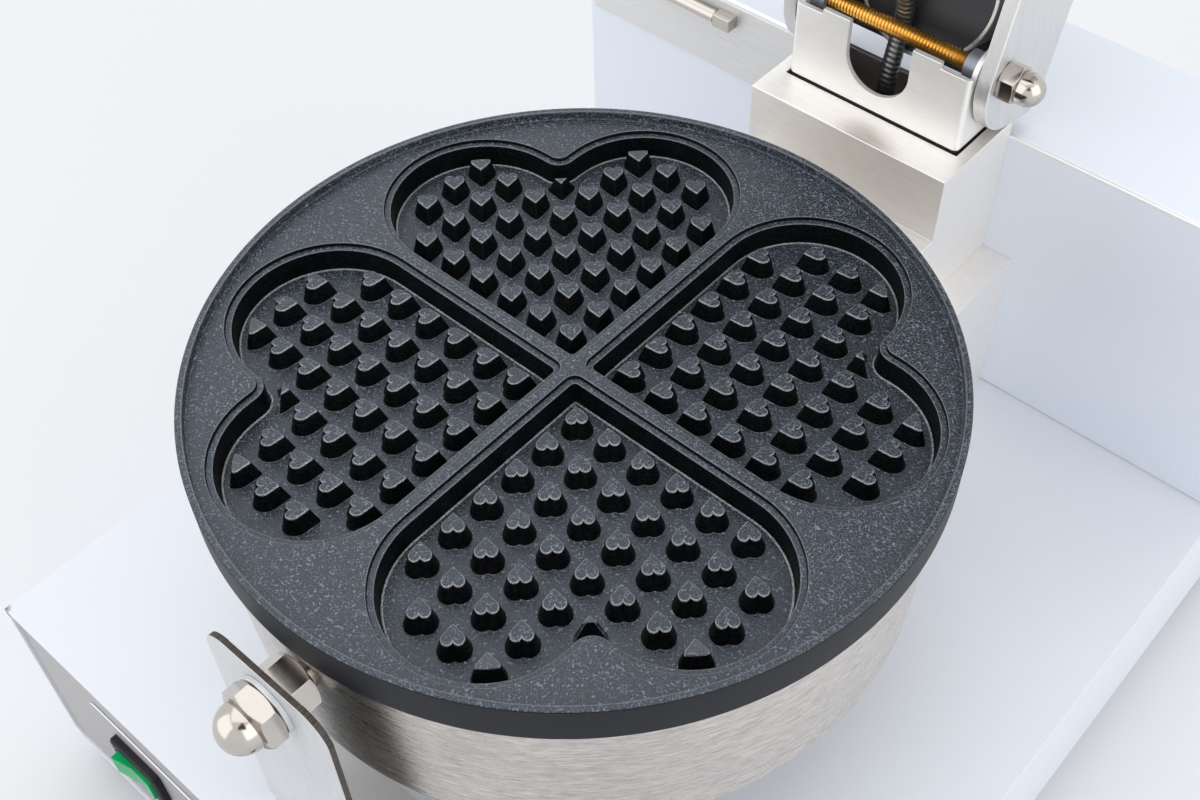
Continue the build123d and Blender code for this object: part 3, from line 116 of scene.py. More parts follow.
class Nodes:
    """A node tree that is built by short calls on this object."""

    def __init__(self, tree):
        self.tree = tree
        tree.nodes.clear()

    def node(self, kind, settings=None, sockets=None):
        """A node: its settings are made first, and then the values or links of its sockets."""
        node = self.tree.nodes.new(kind)
        for name, setting in (settings or {}).items():
            if name == "stops":
                ramp = node.color_ramp
                while len(ramp.elements) < len(setting):
                    ramp.elements.new(0.5)
                for element, (place, level) in zip(ramp.elements, setting):
                    element.position = place
                    element.color = (level, level, level, 1)
            else:
                setattr(node, name, setting)
        for name, entry in (sockets or {}).items():
            self.feed(node.inputs[name], entry)
        return node

    def feed(self, socket, entry):
        source = entry.socket if isinstance(entry, Value) else entry
        if isinstance(source, bpy.types.NodeSocket):
            self.tree.links.new(source, socket)
        else:
            socket.default_value = source

    def math(self, operation, first, second):
        node = self.node("ShaderNodeMath", {"operation": operation}, {0: first, 1: second})
        return Value(self, node.outputs[0])


class Finish(Nodes):
    """A surface finish: a material and the nodes that feed its one shader."""

    def __init__(self, name, **sockets):
        self.material = bpy.data.materials.new(name)
        self.material.use_nodes = True
        super().__init__(self.material.node_tree)
        self.shader = self.node("ShaderNodeBsdfPrincipled", {}, sockets)
        self.node("ShaderNodeOutputMaterial", {}, {"Surface": self.shader.outputs["BSDF"]})

    def spot(self):
        """The place on the surface, in Object coordinates."""
        return self.node("ShaderNodeTexCoord").outputs["Object"]

    def stretched(self, stretch, turn):
        """Object coordinates, turned and then stretched."""
        turned = self.node("ShaderNodeMapping", {}, {"Vector": self.spot(), "Rotation": turn})
        return self.node("ShaderNodeMapping", {}, {"Vector": turned.outputs[0], "Scale": stretch}).outputs[0]

    def noise(self, scale, detail=2.0, roughness=0.5, stretch=(1, 1, 1), turn=(0, 0, 0)):
        node = self.node("ShaderNodeTexNoise", {}, {
            "Vector": self.stretched(stretch, turn), "Scale": scale, "Detail": detail, "Roughness": roughness
        })
        return Value(self, node.outputs["Fac"])

    def cells(self, scale):
        """Distance to the nearest of many scattered points."""
        node = self.node("ShaderNodeTexVoronoi", {}, {"Vector": self.spot(), "Scale": scale})
        return Value(self, node.outputs["Distance"])

    def height(self):
        """Height above the table in millimetres."""
        parts = self.node("ShaderNodeSeparateXYZ", {}, {"Vector": self.spot()})
        return 1000 * Value(self, parts.outputs["Z"])

    def reach(self, middle=(0, 0, 0)):
        """Distance from a point in metres."""
        span = self.node("ShaderNodeVectorMath", {"operation": "DISTANCE"}, {0: self.spot(), 1: middle})
        return Value(self, span.outputs["Value"])

    def ramp(self, value, stops):
        node = self.node("ShaderNodeValToRGB", {"stops": stops}, {"Fac": value})
        return Value(self, node.outputs["Color"])

    def blend(self, factor, first, second):
        """Colour between two colours."""
        node = self.node("ShaderNodeMix", {"data_type": "RGBA"}, {0: factor})
        for socket, colour in ((node.inputs[6], first), (node.inputs[7], second)):
            self.feed(socket, (*colour, 1) if isinstance(colour, tuple) else colour)
        return node.outputs[2]

    def bump(self, height, depth, strength=1.0):
        node = self.node("ShaderNodeBump", {}, {"Height": height, "Distance": depth, "Strength": strength})
        self.feed(self.shader.inputs["Normal"], node.outputs["Normal"])

    def set(self, socket, entry):
        self.feed(self.shader.inputs[socket], entry)


table_colour = (0.815, 0.825, 0.845)
table_glow = (0.35, 0.345, 0.335)
table_reach = 6.0
surround_colour = (0.97, 0.985, 1.0, 1)
surround_white = 1.0
fill_strength = 0.70

table_finish = Finish("table_finish", Roughness=0.6, **{"Emission Strength": 1.0})
table_finish.set("Base Color", table_finish.blend(
    table_finish.noise(3.0), table_colour, tuple(0.985 * level for level in table_colour)))
# Far from the lamps the table glows a little, so that it runs into the white surround.
far_off = table_finish.ramp(table_finish.reach() / table_reach, [(0.2, 0.0), (0.5, 1.0)])
table_finish.set("Emission Color", table_finish.blend(far_off, (0, 0, 0), table_glow))
bpy.ops.mesh.primitive_plane_add(size=2 * table_reach, location=(0, 0, 0))
table = bpy.context.object
table.name = "table"
table.data.materials.append(table_finish.material)

world = bpy.data.worlds.new("studio")
world.use_nodes = True
bpy.context.scene.world = world
sky = Nodes(world.node_tree)
rays = sky.node("ShaderNodeLightPath").outputs
mirrored = sky.math("MAXIMUM", rays["Is Camera Ray"], rays["Is Glossy Ray"])
shown = sky.math("MAXIMUM", mirrored, rays["Is Transmission Ray"])
strength = sky.node("ShaderNodeMapRange", {}, {
    "Value": shown, "To Min": fill_strength, "To Max": surround_white
}).outputs["Result"]
background = sky.node("ShaderNodeBackground", {}, {"Color": surround_colour, "Strength": strength})
sky.node("ShaderNodeOutputWorld", {}, {"Surface": background.outputs["Background"]})

lamps = {
    "key_lamp": {"place": (-0.35, 0.45, 2.0), "aim": (0, 0, 0.2), "size": 2.7, "power": 16.5},
    "side_lamp": {"place": (1.7, -0.1, 1.0), "aim": (0, 0.05, 0.2), "size": 2.0, "power": 12.8},
    "front_lamp": {"place": (-0.9, -1.4, 0.9), "aim": (0, 0, 0.15), "size": 2.0, "power": 10.3},
}
for lamp_name, lamp in lamps.items():
    lamp_data = bpy.data.lights.new(lamp_name, "AREA")
    lamp_data.size = lamp["size"]
    lamp_data.energy = lamp["power"]
    lamp_object = bpy.data.objects.new(lamp_name, lamp_data)
    bpy.context.scene.collection.objects.link(lamp_object)
    sight = (Vector(lamp["aim"]) - Vector(lamp["place"])).to_track_quat("-Z", "Y")
    lamp_object.matrix_world = Matrix.Translation(lamp["place"]) @ sight.to_matrix().to_4x4()

# Dark card behind the camera, which only the polished pieces mirror, as they mirror a photographer.
card_half_width = 0.15
card_half_height = 0.12
card_behind = 0.12
card_outline = ((-1, -1), (1, -1), (0.8, 0.1), (0.35, 0.4), (0.3, 1), (-0.3, 1), (-0.35, 0.4), (-0.8, 0.1))
card_finish = Finish("card_finish", Roughness=0.8)
card_finish.set("Base Color", card_finish.blend(
    card_finish.noise(4.0), (0.02, 0.02, 0.022), (0.035, 0.034, 0.033)))
card_middle = camera_place + camera_back * card_behind
card_mesh = bpy.data.meshes.new("dark_card")
card_mesh.from_pydata([
    card_middle + camera_right * across * card_half_width + camera_up * upward * card_half_height
    for across, upward in card_outline
], [], [tuple(range(len(card_outline)))])
card_mesh.materials.append(card_finish.material)
dark_card = bpy.data.objects.new("dark_card", card_mesh)
bpy.context.scene.collection.objects.link(dark_card)
dark_card.visible_camera = False
dark_card.visible_diffuse = False
dark_card.visible_shadow = False
dark_card.visible_transmission = False


# Cabinet: pale satin stainless sheet, folded and spot welded, with its edges broken by hand.
# The deck is one face of the body; the raised box behind it is a second folding that sits on it.
deck_colour = (0.77, 0.80, 0.86)
deck_shade = (0.75, 0.78, 0.84)
box_colour = (0.82, 0.865, 0.95)
box_shade = (0.795, 0.84, 0.925)
# The seam colour is a painted shade: a dark colour laid into the seams between parts, where shade falls.
seam_shade = (0.035, 0.034, 0.036)
box_seam = (100, 104.7)
fold_radius = 0.8 * MM
weld_place = (-0.153, -0.140, 0.1025)
weld_radius = 3.2 * MM
weld_brown = (0.16, 0.14, 0.12)


def plain_mesh(name, shape):
    """A new mesh from a bmesh, without the normals that a CAD solid brought along."""
    mesh = bpy.data.meshes.new(name)
    shape.to_mesh(mesh)
    shape.free()
    if "custom_normal" in mesh.attributes:
        mesh.attributes.remove(mesh.attributes["custom_normal"])
    return mesh


def set_firm(piece):
    """Turns a piece with live modifiers into a plain mesh."""
    bpy.context.view_layer.update()
    finished = piece.evaluated_get(bpy.context.evaluated_depsgraph_get())
    mesh = bpy.data.meshes.new_from_object(finished)
    piece.modifiers.clear()
    piece.data = mesh


def add_piece(name, mesh, finish):
    piece = bpy.data.objects.new(name, mesh)
    bpy.context.scene.collection.objects.link(piece)
    mesh.materials.append(finish.material)
    return piece


def node_shape(node):
    """The node's solid as a bmesh with its loose triangles joined again."""
    shape = bmesh.new()
    shape.from_mesh(frame["nodes"][node].data)
    bmesh.ops.remove_doubles(shape, verts=shape.verts, dist=1e-6)
    bmesh.ops.dissolve_limit(shape, angle_limit=radians(0.5), verts=shape.verts, edges=shape.edges)
    return shape


def smooth(piece, angle=180):
    """Shades a piece smoothly, but for the edges that are sharper than an angle in degrees."""
    piece.data.polygons.foreach_set("use_smooth", [True] * len(piece.data.polygons))
    if angle < 180:
        piece.data.set_sharp_from_angle(angle=radians(angle))


def round_off(piece, radius, segments, limit, arris_finish=None):
    """Rounds the arrises of a piece and keeps its flat faces flat in the light."""
    if radius:
        smooth(piece)
        bevel = piece.modifiers.new("arris", "BEVEL")
        bevel.width = radius
        bevel.segments = segments
        bevel.limit_method = "ANGLE"
        bevel.angle_limit = radians(limit)
        bevel.use_clamp_overlap = True
        if arris_finish:
            piece.data.materials.append(arris_finish.material)
            bevel.material = 1
    else:
        smooth(piece, limit)
    flat = piece.modifiers.new("flat_faces", "WEIGHTED_NORMAL")
    flat.mode = "FACE_AREA"
    flat.weight = 80
    flat.keep_sharp = True
    set_firm(piece)


def softened(node, finish, radius, body="base", segments=2, limit=35, arris_finish=None):
    """Stands for a node with its arrises rounded."""
    name = node + "_rounded"
    piece = add_piece(name, plain_mesh(name, node_shape(node)), finish)
    round_off(piece, radius, segments, limit, arris_finish)
    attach(piece, body)
    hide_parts(node)
    return piece


def dressed(node, finish):
    """A node whose shape is right gets its finish."""
    piece = frame["nodes"][node]
    piece.data.materials.clear()
    piece.data.materials.append(finish.material)
    return piece


def with_seam_shade(finish, colour, seam):
    """The colour, with a painted shade laid into a seam between two heights in millimetres."""
    if not seam:
        return colour
    height = finish.height()
    return finish.blend((height > seam[0]) - (height > seam[1]), colour, seam_shade)


def satin_sheet(name, bright, dull, metallic=0.2, roughness=0.40, stretch=(1, 1, 1), seam=None):
    """Stainless sheet under a thin satin: faint cloudiness and hardly visible grain."""
    sheet = Finish(name, Metallic=metallic)
    grain = sheet.noise(420.0, 2.0, 0.6, stretch)
    clouded = sheet.blend(sheet.noise(9.0, 3.0, 0.55), bright, dull)
    sheet.set("Base Color", with_seam_shade(sheet, clouded, seam))
    sheet.set("Roughness", roughness + 0.05 * grain)
    sheet.bump(grain, 0.00002, 0.25)
    return sheet


deck_finish = satin_sheet("deck_finish", deck_colour, deck_shade, stretch=(0.04, 1, 1))
# The raised box gets a painted shade along its foot, between the heights of box_seam, where it sits on the
# deck.
box_finish = satin_sheet("box_finish", box_colour, box_shade, stretch=(0.04, 1, 1), seam=box_seam)
# A brighter, glossier sheet on the rounded folds is a painted highlight, where the edges catch the light.
fold_highlight = satin_sheet("fold_highlight", (0.93, 0.94, 0.96), (0.88, 0.89, 0.91), 0.5, 0.3)
# A spot weld at the deck's front left corner has browned the sheet.
for welded in (deck_finish, fold_highlight):
    bare = welded.shader.inputs["Base Color"].links[0].from_socket
    burnt = welded.ramp(welded.reach(weld_place) / weld_radius, [(0.45, 1.0), (1.0, 0.0)])
    welded.set("Base Color", welded.blend(burnt, bare, weld_brown))
softened("base_body", deck_finish, fold_radius, arris_finish=fold_highlight)
softened("rear_housing", box_finish, fold_radius, arris_finish=fold_highlight)
underside_finish = satin_sheet("underside_finish", (0.45, 0.46, 0.47), (0.38, 0.39, 0.40), roughness=0.5)
dressed("bottom_plate", underside_finish)


# Feet: four rubber feet under the corners of the cabinet, dull and finely grained. The same rubber
# makes the grommet in the tower.
def dull_finish(name, colour, roughness, grain, depth):
    """Moulded rubber or plastic with a fine even grain."""
    moulded = Finish(name)
    fine = moulded.noise(grain, 3.0, 0.6)
    worn_colour = tuple(min(1, 1.35 * level) for level in colour)
    moulded.set("Base Color", moulded.blend(moulded.noise(60.0), colour, worn_colour))
    moulded.set("Roughness", roughness + 0.12 * fine)
    moulded.bump(fine, depth, 0.5)
    return moulded


foot_rubber = dull_finish("foot_rubber", (0.025, 0.025, 0.026), 0.6, 900.0, 0.00008)
dressed("base_feet", foot_rubber)


# Front panel: grey satin sheet let in below the deck's edge, with a control plate of the same sheet,
# the bezel of the switch, and behind it the bodies and shafts of the two controls.
# The front panel gets a painted shade along its top, between the heights of panel_seam, under the deck's
# front edge.
panel_seam = (101.2, 103)
panel_finish = satin_sheet("panel_finish", (0.44, 0.425, 0.43), (0.40, 0.385, 0.39), 0.4, 0.42,
                           (0.05, 1, 1), panel_seam)
dressed("front_panel", panel_finish)
# The control plate's rounded arrises get the brighter fold sheet, a painted highlight.
softened("control_plate", panel_finish, 0.3 * MM, arris_finish=fold_highlight)
switch_black = dull_finish("switch_black", (0.012, 0.012, 0.014), 0.45, 1200.0, 0.00003)
switch_black.set("Specular IOR Level", 0.25)
softened("switch_body", switch_black, 0.3 * MM)
control_metal = satin_sheet("control_metal", (0.55, 0.54, 0.52), (0.42, 0.41, 0.40), 0.9, 0.45)
for control in ("thermostat", "timer"):
    dressed(control, control_metal)
    dressed(control + "_shaft", control_metal)


# Rocker: clear green plastic over a neon lamp, so it is lit from inside. It tips about a pin in the
# switch body.
rocker_green = Finish("rocker_green", Roughness=0.16, **{
    "Emission Strength": 0.30, "Specular IOR Level": 0.05})
rocker_depth = rocker_green.noise(120.0)
rocker_green.set("Base Color", rocker_green.blend(rocker_depth, (0.0, 0.13, 0.04), (0.0, 0.34, 0.12)))
rocker_green.set("Emission Color", rocker_green.blend(rocker_depth, (0.0, 0.25, 0.06), (0.02, 0.55, 0.18)))
softened("rocker", rocker_green, 0.5 * MM, "switch_rocker", 3)


# Knobs: fluted black plastic, pushed on the shafts of the two controls, with a white pointer line
# painted in the groove of the face.
knob_black = dull_finish("knob_black", (0.014, 0.014, 0.015), 0.28, 1100.0, 0.00004)
pointer_white = dull_finish("pointer_white", (0.78, 0.78, 0.76), 0.4, 700.0, 0.00002)
pointer_sunk = 1.0 * MM
pointer_slack = 0.2 * MM
for control in ("thermostat", "timer"):
    knob = softened(control + "_knob", knob_black, 0.45 * MM, control + "_dial", limit=40)
    knob.data.materials.append(pointer_white.material)
    groove_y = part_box(control + "_knob")[0].y + pointer_sunk
    for facet in knob.data.polygons:
        on_groove_floor = facet.normal.y < -0.9 and abs(facet.center.y - groove_y) < pointer_slack
        facet.material_index = 1 if on_groove_floor else 0


# Pedestal, tower and hinge bracket: brushed stainless plate, warm in colour, with the brushing
# along each piece and a painted highlight on the rounded arrises. The rod's bushes sit in the bracket's
# ears.
steel_bright = (0.88, 0.855, 0.825)
steel_dull = (0.70, 0.68, 0.655)
bracket_seam = (190, 228.8)


def brushed_steel(name, stretch, bright=steel_bright, dull=steel_dull, roughness=0.36, metallic=0.7,
                  seam=None, grit=2100.0, turn=(0, 0, 0)):
    """Stainless steel with brushing: fine lines that hardly vary along the stroke."""
    steel = Finish(name, Metallic=metallic)
    lines = steel.ramp(steel.noise(grit, 2.0, 0.6, stretch, turn), [(0.35, 0.0), (0.65, 1.0)])
    strokes = steel.ramp(steel.noise(grit / 3, 3.0, 0.6, stretch, turn), [(0.30, 0.0), (0.70, 1.0)])
    clouds = steel.noise(14.0, 3.0)
    worn = steel.blend(0.5 * lines + 0.25 * strokes + 0.25 * clouds, dull, bright)
    steel.set("Base Color", with_seam_shade(steel, worn, seam))
    steel.set("Roughness", roughness + 0.12 * strokes)
    steel.bump(lines + 0.6 * strokes, 0.00004, 0.5)
    return steel


# A brighter, smoother steel on the rounded arrises is a painted highlight.
arris_highlight_steel = satin_sheet("arris_highlight_steel", (0.94, 0.93, 0.92), (0.88, 0.87, 0.86), 0.8, 0.32)
plate_steel = brushed_steel("plate_steel", (0.08, 1, 1), (0.98, 0.955, 0.925), (0.87, 0.84, 0.805),
                            0.34, 0.75)
# The hinge bracket gets a painted shade between the heights of bracket_seam, at its foot where it meets the
# tower.
ear_steel = brushed_steel("ear_steel", (0.08, 1, 1), (1.0, 0.98, 0.955), (0.91, 0.89, 0.86),
                          0.40, 0.5, bracket_seam)
softened("pedestal", plate_steel, 0.5 * MM, arris_finish=arris_highlight_steel)
softened("tower", plate_steel, 0.4 * MM, arris_finish=arris_highlight_steel)
softened("hinge_bracket", ear_steel, 0.3 * MM, arris_finish=arris_highlight_steel)
bolt_steel = satin_sheet("bolt_steel", (0.78, 0.75, 0.70), (0.68, 0.65, 0.61), 1.0, 0.22)
dressed("tower_bolts", bolt_steel)
dressed("tower_grommet", foot_rubber)
bush_grey = satin_sheet("bush_grey", (0.34, 0.37, 0.42), (0.27, 0.29, 0.33), 0.5, 0.42)
dressed("pin_bushes", bush_grey)


# Mains inlet: a black moulded gland in the back wall for a round lead, and inside it the white
# terminal block that the lead is screwed to.
gland_black = dull_finish("gland_black", (0.02, 0.02, 0.02), 0.4, 900.0, 0.00004)
softened("cable_gland", gland_black, 0.4 * MM)
terminal_white = dull_finish("terminal_white", (0.75, 0.74, 0.70), 0.4, 500.0, 0.00003)
dressed("terminal_block", terminal_white)


# Front bracket: a laser cut plate with a folded foot. Its front is brushed, its back carries a painted
# shade where it faces the drum, and the cut edges are brown and finely streaked across.
bracket_steel = brushed_steel("bracket_steel", (1, 1, 0.03), (0.72, 0.725, 0.74), (0.60, 0.605, 0.62),
                              0.42, 0.5)
cut_edge = Finish("cut_edge", Metallic=0.4)
streaks = cut_edge.ramp(cut_edge.noise(2400.0, 4.0, 0.75, (1, 0.02, 1)), [(0.36, 0.0), (0.70, 1.0)])
cut_edge.set("Base Color", cut_edge.blend(streaks, (0.014, 0.011, 0.009), (0.15, 0.12, 0.10)))
cut_edge.set("Roughness", 0.45 + 0.2 * streaks)
cut_edge.bump(streaks, 0.00006, 0.6)
shaded_back = satin_sheet("shaded_back", (0.07, 0.068, 0.066), (0.11, 0.105, 0.10), 0.6, 0.5)
bracket_fold_z = 109 * MM
bracket = softened("front_bracket", bracket_steel, 0.15 * MM, segments=1)
bracket.data.materials.append(cut_edge.material)
bracket.data.materials.append(shaded_back.material)
# The back faces above the fold get the near black sheet, a painted shade.
for facet in bracket.data.polygons:
    above_fold = facet.center.z > bracket_fold_z
    cut = abs(facet.normal.y) < 0.4 and (above_fold or abs(facet.normal.z) < 0.4)
    back = above_fold and facet.normal.y > 0.7
    facet.material_index = 1 if cut else 2 if back else 0


# Stud, nuts and washer: nickel plated steel, and duller zinc on the washer. The stud runs out of the
# drum through the bracket, with a hexagon nut behind it and an acorn nut with a polished dome before it.
def ring_of(shape, radius, height, segments):
    """A ring of points about the axis, or the one point where the shape closes on the axis."""
    if radius < 1e-7:
        return [shape.verts.new((0, 0, height))]
    turns = [2 * pi * step / segments for step in range(segments)]
    return [shape.verts.new((radius * cos(turn), radius * sin(turn), height)) for turn in turns]


def band(shape, low, high):
    """The faces between two rings of points, of which one may be a single point."""
    faces = []
    for step in range(max(len(low), len(high))):
        corners = (low[step % len(low)], low[(step + 1) % len(low)],
                   high[(step + 1) % len(high)], high[step % len(high)])
        faces.append(shape.faces.new(list(dict.fromkeys(corners))))
    return faces


def closed_shape(shape, rings):
    """The shape with a band from each ring to the next, and its faces turned outwards."""
    for low, high in zip(rings, rings[1:]):
        band(shape, low, high)
    bmesh.ops.recalc_face_normals(shape, faces=shape.faces)
    return shape


def turned(profile, segments=64):
    """A turned shape from its half section, whose points are a radius and a height along Z."""
    shape = bmesh.new()
    return closed_shape(shape, [ring_of(shape, radius, height, segments) for radius, height in profile])


def hexagon_nut(across, height, bore):
    """Hexagon on the plane z = 0 whose corners are turned off by a cone of thirty degrees at both ends."""
    shape = bmesh.new()
    points_per_side = 8
    count = 6 * points_per_side
    top_radius = across / 2 * 0.975
    cone = tan(radians(60))
    rings = [[] for level in range(6)]
    for step in range(count):
        angle = 2 * pi * step / count
        off = (angle + pi / 6) % (pi / 3) - pi / 6
        reach = across / 2 / cos(off)
        drop = (reach - top_radius) / cone
        for ring, radius, z in zip(rings, (bore / 2, top_radius, reach, reach, top_radius, bore / 2),
                                   (0, 0, drop, height - drop, height, height)):
            ring.append(shape.verts.new((radius * cos(angle), radius * sin(angle), z)))
    return closed_shape(shape, rings + rings[:1])


def dome(radius, foot, neck):
    """Dome of an acorn nut over its hexagon, with a small undercut where it leaves the hexagon."""
    steps = 14
    undercut = radius * 0.95
    profile = [(0, foot), (undercut, foot), (undercut, foot + 0.35 * MM), (radius, foot + 0.6 * MM)]
    profile += [(radius * cos(pi / 2 * step / steps), foot + neck + radius * sin(pi / 2 * step / steps))
                for step in range(steps)]
    profile.append((0, foot + neck + radius))
    return turned(profile)


def place_shape(shape, matrix):
    bmesh.ops.transform(shape, matrix=matrix, verts=shape.verts)
    return shape


def joined_mesh(name, shapes):
    """One mesh from several bmeshes."""
    whole = bmesh.new()
    for shape in shapes:
        part = bpy.data.meshes.new("part")
        shape.to_mesh(part)
        shape.free()
        whole.from_mesh(part)
        bpy.data.meshes.remove(part)
    return plain_mesh(name, whole)


def along(direction, start, turn=0):
    """Matrix that puts a shape's own Z along a level direction, its Y upright, turned by some degrees."""
    forward = Vector(direction)
    upward = Vector((0, 0, 1))
    axes = Matrix((upward.cross(forward), upward, forward)).transposed().to_4x4()
    return Matrix.Translation(start) @ axes @ Matrix.Rotation(radians(turn), 4, "Z")


def fitted(name, shapes, finish, body, node, angle=32, arris=0):
    """A finished piece from bmeshes, which stands for a node."""
    piece = add_piece(name, joined_mesh(name, shapes), finish)
    round_off(piece, arris, 2, angle)
    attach(piece, body)
    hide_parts(node)
    return piece


nickel = Finish("nickel", Metallic=1.0)
marks = nickel.noise(90.0, 4.0, 0.65)
fine_grain = nickel.noise(900.0)
nickel.set("Base Color", nickel.blend(marks, (0.47, 0.435, 0.395), (0.60, 0.56, 0.515)))
nickel.set("Roughness", 0.06 + 0.14 * marks + 0.03 * fine_grain)
nickel.bump(fine_grain, 0.00001, 0.3)

acorn_low, acorn_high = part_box("acorn_nut")
inner_low, inner_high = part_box("inner_nut")
washer_low, washer_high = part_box("front_washer")
stud_z = (acorn_low.z + acorn_high.z) / 2
stud_radius = 5.0 * MM
stud_across = acorn_high.z - acorn_low.z
acorn_across = 1.1 * stud_across
acorn_hex_height = 6.5 * MM
acorn_radius = 8.0 * MM
acorn_neck = 1.0 * MM
acorn_turn = 14
nut_turn = 16
nut_arris = 0.14 * MM
washer_radius = (washer_high.z - washer_low.z) / 2
washer_height = washer_high.y - washer_low.y
washer_edge = 0.2 * MM


def on_stud(shape, y, turn=0):
    """A shape threaded on the stud, with its foot at y."""
    return place_shape(shape, along((0, -1, 0), Vector((0, y, stud_z)), turn))


fitted("acorn_nut_polished", [
    on_stud(hexagon_nut(acorn_across, acorn_hex_height, 3 * MM), acorn_high.y, acorn_turn),
    on_stud(dome(acorn_radius, acorn_hex_height, acorn_neck), acorn_high.y),
], nickel, "base", "acorn_nut", arris=nut_arris)
inner_nut = hexagon_nut(stud_across, inner_high.y - inner_low.y, 2 * stud_radius)
fitted("inner_nut_turned", [on_stud(inner_nut, inner_high.y, nut_turn)],
       nickel, "base", "inner_nut", arris=nut_arris)
washer_zinc = satin_sheet("washer_zinc", (0.72, 0.725, 0.74), (0.60, 0.605, 0.62), 0.5, 0.42)
washer = turned([
    (stud_radius, 0), (washer_radius - washer_edge, 0), (washer_radius, washer_edge),
    (washer_radius, washer_height - washer_edge), (washer_radius - washer_edge, washer_height),
    (stud_radius, washer_height), (stud_radius, 0)
])
fitted("front_washer_turned", [on_stud(washer, washer_high.y)], washer_zinc, "base", "front_washer")
dressed("front_stud", nickel)
dressed("bracket_screws", nickel)


# Drums: deep drawn stainless pans, brushed round their axis. The upper one is the same pan
# turned over on the lid.
drum_low, drum_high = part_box("lower_drum")
lip_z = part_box("lower_plate")[1].z
drum_segments = 256
drum_radius = drum_high.x
drum_depth = drum_high.z - drum_low.z
drum_taper = 2.7 * MM
drum_corner = 3.0 * MM
drum_wall = 1.2 * MM
drum_mouth = drum_high.z - lip_z
open_angle = radians(frame["joints"][0]["range_deg"][1])
hinge = Vector(frame["joints"][0]["pos_m"])
to_lip = Matrix.Translation((0, 0, lip_z))
to_open = Matrix.Translation(hinge) @ Matrix.Rotation(-open_angle, 4, "X") @ Matrix.Translation(-hinge)
lower_seat = to_lip
upper_seat = to_open @ to_lip @ Matrix.Rotation(pi, 4, "X")


def drum_shape():
    """Pan in the head's own frame, where the plates part at z = 0 and the drum lies below."""
    foot = drum_mouth - drum_depth
    foot_radius = drum_radius - drum_taper
    steps = 5
    profile = [(0, foot)]
    for step in range(steps + 1):
        turn = pi / 2 * step / steps
        profile.append((foot_radius - drum_corner * (1 - sin(turn)), foot + drum_corner * (1 - cos(turn))))
    profile += [
        (drum_radius - 0.15 * MM, drum_mouth - 0.3 * MM), (drum_radius - 0.3 * MM, drum_mouth),
        (drum_radius - drum_wall, drum_mouth), (foot_radius - drum_wall, foot + drum_corner),
        (foot_radius - drum_corner, foot + drum_wall), (0, foot + drum_wall)
    ]
    return turned(profile, drum_segments)


drum_bright = (0.84, 0.775, 0.71)
drum_dull = (0.38, 0.345, 0.31)
pan_end_steel = brushed_steel("pan_end_steel", (0.03, 1, 1), drum_bright, (0.62, 0.57, 0.52), 0.3, 1.0)
for head, steel_name, lean, seat, body in (
        ("lower", "drum_steel", 0, lower_seat, "base"),
        ("upper", "lid_drum_steel", open_angle, upper_seat, "lid")):
    drum_steel = brushed_steel(steel_name, (0.10, 0.10, 1), drum_bright, drum_dull, 0.22, 1.0,
                               grit=2000.0, turn=(lean, 0, 0))
    pan = fitted(head + "_drum_pan", [place_shape(drum_shape(), seat)], drum_steel, body, head + "_drum")
    pan.data.materials.append(pan_end_steel.material)
    pan_axis = seat.to_3x3() @ Vector((0, 0, 1))
    for facet in pan.data.polygons:
        facet.material_index = 1 if abs(facet.normal.dot(pan_axis)) > 0.9 else 0


# Plates: cast aluminium, machined on the edge and sprayed with a speckled non-stick coat, each
# with four stepped heart recesses and a field of small heart studs. Sizes are in millimetres.
plate_radius = 115.0
lip_width = 2.2
lip_height = 3.2
lip_inner = plate_radius - lip_width
nest_height = 2.7
nest_radius = 111.3
rim_gap = 0.04
rim_foot = -14.0
band_inner = 106.0
spigot_foot = -22.0
rim_segments = 240

heart_reach = 101.8
lobe_width = 62.6
web_half = 1.75
web_corner = 3.5
cleft_corner = 4.0
recess_depth = 8.8
step_depth = 1.3
ledge_width = 2.0
wall_draft = 4.0
edge_round = 0.40
edge_shoulder = 0.12
foot_round = 0.80
foot_shoulder = 0.22
wall_reach = 110.0

stud_pitch = 12.5
stud_start = 9.3
stud_size = 6.1
stud_lobe = 3.7
stud_height = 6.0
stud_top = 5.5
stud_spread = 1.75
stud_middle = 3.1
stud_long = 1.08
stud_narrow = 0.91
stud_margin = 6.9
stud_levels = ((-0.15, stud_spread + 0.25), (0.18, stud_spread - 0.05),
               (5.60, 0.11), (5.89, -0.02), (stud_height, -0.25))


def arc(x, y, radius, first, last, steps, start=0):
    """Points of an arc between two angles in degrees; a start leaves out that many of its first points."""
    angles = [radians(first + (last - first) * step / steps) for step in range(start, steps + 1)]
    return [(x + radius * cos(angle), y + radius * sin(angle)) for angle in angles]


def wall_line(inset):
    """The places that a heart's wall line hangs on: its near and far sides, lobe, lobe radius and cleft."""
    radius = lobe_width / 2 - inset
    near = web_half + inset
    return near, near + 2 * radius, heart_reach - inset - radius, radius, cleft_corner + inset


def recess_line(inset, steps=8):
    """Outline of a heart with its tip at the lower left: two equal slots that cross at right angles."""
    near, far, lobe, radius, cleft = wall_line(inset)
    tip = max(web_corner - inset, 0.4)
    return (arc(lobe, near + radius, radius, -90, 90, 4 * steps)
            + arc(far + cleft, far + cleft, cleft, 270, 180, steps)
            + arc(near + radius, lobe, radius, 0, 180, 4 * steps)
            + arc(near + tip, near + tip, tip, 180, 270, steps))


